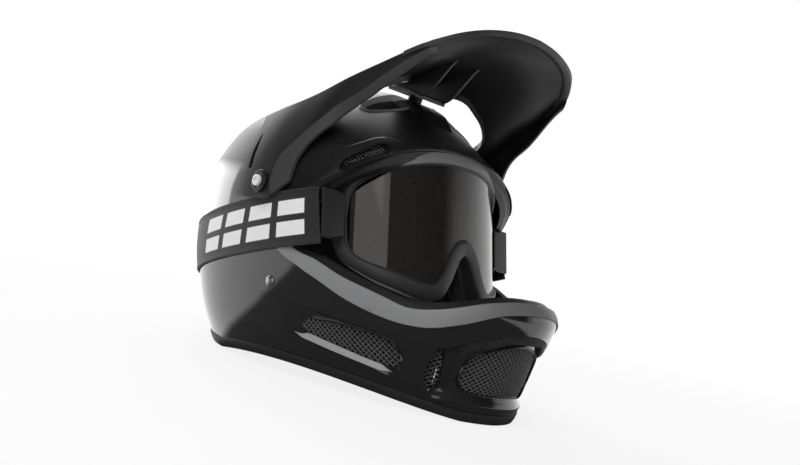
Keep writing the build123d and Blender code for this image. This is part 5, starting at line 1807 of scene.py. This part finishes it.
class HelmetFinishes(bpy.types.PropertyGroup):
    """Colours and gloss of the helmet."""

    shell_color: bpy.props.FloatVectorProperty(
        name="Shell colour", description="Lacquer of the shell", subtype="COLOR", size=3, min=0, max=1,
        default=(0.010, 0.0102, 0.011),
    )
    visor_color: bpy.props.FloatVectorProperty(
        name="Visor colour", description="Moulded plastic of the visor", subtype="COLOR", size=3, min=0,
        max=1, default=(0.014, 0.0142, 0.015),
    )
    # colour of the painted highlight on the port trim's bevel; the trim itself stays dark
    port_highlight_color: bpy.props.FloatVectorProperty(
        name="Port trim colour", description="Moulding round the eye port", subtype="COLOR", size=3, min=0,
        max=1, default=(0.25, 0.252, 0.256),
    )
    strap_print: bpy.props.FloatVectorProperty(
        name="Strap print colour", description="Blocks printed on the goggle strap", subtype="COLOR", size=3,
        min=0, max=1, default=(0.88, 0.88, 0.88),
    )
    shell_gloss: bpy.props.FloatProperty(
        name="Shell roughness", description="Roughness of the glossy lower shell", subtype="FACTOR",
        default=0.08, min=0.02, max=1,
    )


class HelmetStudio(bpy.types.PropertyGroup):
    """Camera and lamps of the stage."""

    lens: bpy.props.FloatProperty(
        name="Focal length", description="Camera focal length", unit="CAMERA", default=40.95, min=10
    )
    key_power: bpy.props.FloatProperty(
        name="Key light", description="Power of the large soft lamp", unit="POWER", default=14.0, min=0
    )
    fill_power: bpy.props.FloatProperty(
        name="Fill light", description="Power of the low front lamp", unit="POWER", default=3.0, min=0
    )
    rim_power: bpy.props.FloatProperty(
        name="Rim light", description="Power of the lamp behind", unit="POWER", default=12.0, min=0
    )
    soft_power: bpy.props.FloatProperty(
        name="Soft light", description="Power of the lamp without reflections", unit="POWER", default=16.0,
        min=0
    )
    floor_size: bpy.props.FloatProperty(
        name="Floor size", description="Half width of the floor", unit="LENGTH", default=6.0, min=1
    )


finishes = {}


class HELMET_OT_finishes(bpy.types.Operator):
    """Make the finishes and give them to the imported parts"""

    bl_idname = "helmet.finishes"
    bl_label = "Finishes"

    def execute(self, context):
        finishes.update(make_finishes(context.scene.helmet_finishes))
        for entry in frame["record"]["subparts"]:
            node, slot = entry["node"], entry["material_slot"]
            dress(nodes[node], finishes[slot])
        return {"FINISHED"}


class HELMET_OT_shell(bpy.types.Operator):
    """Model the shell with its brow panel and its vents"""

    bl_idname = "helmet.shell"
    bl_label = "Shell"

    def execute(self, context):
        settle(make_shell(), "helmet", "shell", "outer_shell", finish=finishes["shell"])
        surrounds = join("vent_surrounds", make_surrounds())
        settle(surrounds, "helmet", "shell", finish=finishes["shell"])
        # the pale strips along the cheek vents are painted highlight
        settle(make_highlight_ledges(), "helmet", "port_trim", finish=finishes["ledge_highlight"])
        return {"FINISHED"}


class HELMET_OT_trims(bpy.types.Operator):
    """Model the port trim and the rubber edge of the rim"""

    bl_idname = "helmet.trims"
    bl_label = "Trims"

    def execute(self, context):
        settle(make_port_trim(), "helmet", "port_trim", "eye_port_trim", finish=finishes["port_trim"])
        settle(make_rim_trim(), "helmet", "rubber", "base_trim", finish=finishes["rubber"])
        return {"FINISHED"}


class HELMET_OT_nets(bpy.types.Operator):
    """Weave the nets behind the vents"""

    bl_idname = "helmet.nets"
    bl_label = "Nets"

    def execute(self, context):
        for net, node in make_nets():
            settle(net, "helmet", "net", node, finish=finishes["net"])
        settle(make_backings(), "helmet", "liner", finish=finishes["liner"])
        return {"FINISHED"}


class HELMET_OT_intakes(bpy.types.Operator):
    """Model the hooded lips of the crown intakes"""

    bl_idname = "helmet.intakes"
    bl_label = "Crown intakes"

    def execute(self, context):
        left = intake_ring("intake_frame_left_visual")
        right = mirror_of(left, "intake_frame_right_visual")
        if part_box("intake_frame_right")[0].x > 0:
            raise RuntimeError("the right intake lies on the left")
        first, second = (left, right) if left.data.vertices[0].co.x > 0 else (right, left)
        settle(first, "helmet", "intake", "intake_frame_left", finish=finishes["intake"])
        settle(second, "helmet", "intake", "intake_frame_right", finish=finishes["intake"])
        return {"FINISHED"}


class HELMET_OT_visor(bpy.types.Operator):
    """Model the visor with its arms, lip, hems and ribs"""

    bl_idname = "helmet.visor"
    bl_label = "Visor"

    def execute(self, context):
        visor = smooth_by_angle(make_visor(), 30)
        visor = join("visor_visual", [visor] + visor_extras())
        settle(visor, "visor", "visor_black", "visor", finish=finishes["visor_black"])
        return {"FINISHED"}


class HELMET_OT_hardware(bpy.types.Operator):
    """Turn the screws, washers and rivets"""

    bl_idname = "helmet.hardware"
    bl_label = "Screws and rivets"

    def execute(self, context):
        for obj, body, slot, node in make_hardware():
            settle(obj, body, slot, node, finish=finishes[slot])
        return {"FINISHED"}


class HELMET_OT_pads(bpy.types.Operator):
    """Sew the comfort pads and the neck roll"""

    bl_idname = "helmet.pads"
    bl_label = "Pads"

    def execute(self, context):
        for obj, node in make_pads():
            settle(obj, "helmet", "pad", node, finish=finishes["pad"])
        return {"FINISHED"}


class HELMET_OT_chin_strap(bpy.types.Operator):
    """Model the webbing of the chin strap"""

    bl_idname = "helmet.chin_strap"
    bl_label = "Chin strap"

    def execute(self, context):
        for obj, node in make_chin_straps():
            settle(obj, "helmet", "webbing", node, finish=finishes["webbing"])
        return {"FINISHED"}


class HELMET_OT_goggles(bpy.types.Operator):
    """Model the lens, frame, foam and outriggers"""

    bl_idname = "helmet.goggles"
    bl_label = "Goggles"

    def execute(self, context):
        settle(make_lens(), "goggles", "lens", "goggle_lens", finish=finishes["lens"])
        settle(
            make_goggle_frame(), "goggles", "goggle_frame", "goggle_frame", finish=finishes["goggle_frame"]
        )
        foam = settle(make_goggle_foam(), "goggles", "foam", "goggle_foam", finish=finishes["foam"])
        right = make_outrigger("outrigger_right_visual")
        left = mirror_of(right, "outrigger_left_visual")
        settle(right, "goggles", "goggle_frame", "outrigger_right", finish=finishes["buckle"])
        settle(left, "goggles", "goggle_frame", "outrigger_left", finish=finishes["buckle"])
        return {"FINISHED"}


class HELMET_OT_goggle_strap(bpy.types.Operator):
    """Model the elastic strap of the goggles"""

    bl_idname = "helmet.goggle_strap"
    bl_label = "Goggle strap"

    def execute(self, context):
        strap, length = make_goggle_strap()
        finish_strap(finishes["strap"], length, context.scene.helmet_finishes.strap_print)
        settle(strap, "helmet", "strap", "goggle_strap", finish=finishes["strap"])
        return {"FINISHED"}


# Where the lamps point, in metres
AIM = Vector((0, 0, 0.12))


def lamp(name, place, size, size_y, power):
    """A rectangular lamp at a place, turned towards the helmet."""
    data = bpy.data.lights.new(name, "AREA")
    data.shape = "RECTANGLE"
    data.size, data.size_y, data.energy = size, size_y, power
    obj = bpy.data.objects.new(name, data)
    bpy.context.scene.collection.objects.link(obj)
    obj.location = place
    obj.rotation_euler = (AIM - obj.location).to_track_quat("-Z", "Y").to_euler()
    return obj


def make_world():
    """White behind the helmet, darker in front of it, and white to the camera."""
    world = bpy.data.worlds.new("studio")
    bpy.context.scene.world = world
    world.use_nodes = True
    tree = world.node_tree
    shader = tree.nodes["Background"]
    place = tree.nodes.new("ShaderNodeTexCoord")
    parts = tree.nodes.new("ShaderNodeSeparateXYZ")
    tree.links.new(place.outputs["Generated"], parts.inputs[0])
    x, y, z = (Shade(tree, parts.outputs[k]) for k in range(3))
    white = (x * 0.42 + y * 0.91).step(0.45, 0.75).math("MAXIMUM", (x * 0.96 - y * 0.28).step(0.55, 0.8))
    white = white * (1.0 - z.step(0.25, 0.65))
    front = (x * -0.75 + y * -0.66).step(0.35, 0.95)
    over = z.step(0.55, 1.0)
    grey = white * 0.95 + front * 0.08 + over * 0.12 + 0.03
    rays = tree.nodes.new("ShaderNodeLightPath")
    camera = Shade(tree, rays.outputs["Is Camera Ray"])
    through = Shade(tree, rays.outputs["Is Transmission Ray"])
    seen = camera.math("MAXIMUM", through)
    value = grey + (1.0 - grey) * seen
    value = value.math("MINIMUM", 1.0)
    tree.links.new(value.socket, shader.inputs["Strength"])
    shader.inputs["Color"].default_value = (1, 1, 1, 1)


def floor_paper():
    """Pale paper with the helmet's shadow on it, near white to the camera, and a painted reflection source in
    glossy reflections.
    """
    paper = Finish("floor_paper", (0.8, 0.8, 0.8), 0.85)
    paper.set("Base Color", paper.mix(paper.noise(300.0, 2.0), (0.79, 0.79, 0.79), (0.81, 0.81, 0.81)))
    tree = paper.tree
    glow = tree.nodes.new("ShaderNodeEmission")
    blend = tree.nodes.new("ShaderNodeMixShader")
    rays = tree.nodes.new("ShaderNodeLightPath")
    x, y, z = paper.axes()
    # to reflections the paper glows white behind the helmet and beyond its left side and nearly black
    # elsewhere: a painted reflection source, no lamp
    white = (x * 0.34 + y * 0.94).step(22.0, 46.0).math("MAXIMUM", (x * 0.94 - y * 0.34).step(150.0, 190.0))
    far = (x * x + y * y).math("SQRT").step(250.0, 1100.0)
    seen = Shade(tree, rays.outputs["Is Camera Ray"]) * (far * 0.16 + 0.84)
    mirrored = Shade(tree, rays.outputs["Is Glossy Ray"])
    seen = seen + mirrored * 0.9
    glow.inputs["Color"].default_value = (1, 1, 1, 1)
    level = 1.0 - mirrored * (1.0 - white) * 0.95
    tree.links.new(level.socket, glow.inputs["Strength"])
    tree.links.new(seen.socket, blend.inputs[0])
    tree.links.new(paper.shader.outputs[0], blend.inputs[1])
    tree.links.new(glow.outputs[0], blend.inputs[2])
    tree.links.new(blend.outputs[0], tree.nodes["Material Output"].inputs["Surface"])
    return paper


# The camera solved from the photograph: its place, and its axes to the right, up and back
CAMERA_PLACE = (-0.5187, -0.5638, 0.1146)
CAMERA_AXES = ((0.7044, -0.6774, 0.2120), (-0.1593, 0.1402, 0.9773), (-0.6917, -0.7222, -0.0092))


class HELMET_OT_stage(bpy.types.Operator):
    """Set the floor, the camera, the lamps and the world"""

    bl_idname = "helmet.stage"
    bl_label = "Stage"

    def execute(self, context):
        studio = context.scene.helmet_studio
        deselect()
        bpy.ops.mesh.primitive_plane_add(size=2 * studio.floor_size, location=(0, 0, -0.0005))
        floor = context.object
        floor.name = "floor"
        dress(floor, floor_paper())
        make_world()
        camera = bpy.data.objects.new("camera", bpy.data.cameras.new("camera"))
        context.scene.collection.objects.link(camera)
        turn = Matrix(CAMERA_AXES).transposed().to_4x4()
        camera.matrix_world = Matrix.Translation(CAMERA_PLACE) @ turn
        camera.data.lens = studio.lens
        camera.data.sensor_width = 36.0
        camera.data.clip_start = 0.01
        context.scene.camera = camera
        lamp("key", (0.45, 1.05, 1.25), 1.1, 1.1, studio.key_power)
        lamp("fill", (-1.3, -0.9, 0.5), 0.9, 1.2, studio.fill_power)
        soft = lamp("soft", (-1.1, -0.5, 1.3), 1.2, 1.2, studio.soft_power)
        soft.visible_glossy = False
        lamp("rim", (-0.1, 1.7, 0.6), 1.3, 1.6, studio.rim_power)
        view = context.scene.view_settings
        view.view_transform = "Standard"
        return {"FINISHED"}


class HELMET_PT_panel(bpy.types.Panel):
    """Lists every step of the helmet"""

    bl_idname = "HELMET_PT_panel"
    bl_label = "Helmet"
    bl_space_type = "VIEW_3D"
    bl_region_type = "UI"
    bl_category = "Helmet"

    def draw(self, context):
        column = self.layout.column()
        for group in (context.scene.helmet_finishes, context.scene.helmet_studio):
            for key in group.bl_rna.properties.keys():
                if key not in ("rna_type", "name"):
                    column.prop(group, key)
        for step in STEPS:
            column.operator(step.bl_idname)


STEPS = (
    HELMET_OT_finishes, HELMET_OT_shell, HELMET_OT_trims, HELMET_OT_nets, HELMET_OT_intakes, HELMET_OT_visor,
    HELMET_OT_hardware, HELMET_OT_pads, HELMET_OT_chin_strap, HELMET_OT_goggles, HELMET_OT_goggle_strap,
    HELMET_OT_stage,
)
GROUPS = (HelmetFinishes, HelmetStudio)


def register():
    for part in GROUPS + STEPS + (HELMET_PT_panel,):
        bpy.utils.register_class(part)
    bpy.types.Scene.helmet_finishes = bpy.props.PointerProperty(type=HelmetFinishes)
    bpy.types.Scene.helmet_studio = bpy.props.PointerProperty(type=HelmetStudio)


def unregister():
    del bpy.types.Scene.helmet_studio
    del bpy.types.Scene.helmet_finishes
    for part in reversed(GROUPS + STEPS + (HELMET_PT_panel,)):
        bpy.utils.unregister_class(part)


def main():
    """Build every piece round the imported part."""
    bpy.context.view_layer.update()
    register()
    bpy.ops.helmet.stage()
    bpy.ops.helmet.finishes()
    bpy.ops.helmet.shell()
    bpy.ops.helmet.trims()
    bpy.ops.helmet.nets()
    bpy.ops.helmet.intakes()
    bpy.ops.helmet.visor()
    bpy.ops.helmet.hardware()
    bpy.ops.helmet.pads()
    bpy.ops.helmet.chin_strap()
    bpy.ops.helmet.goggles()
    bpy.ops.helmet.goggle_strap()


if __name__ == "__main__":
    main()
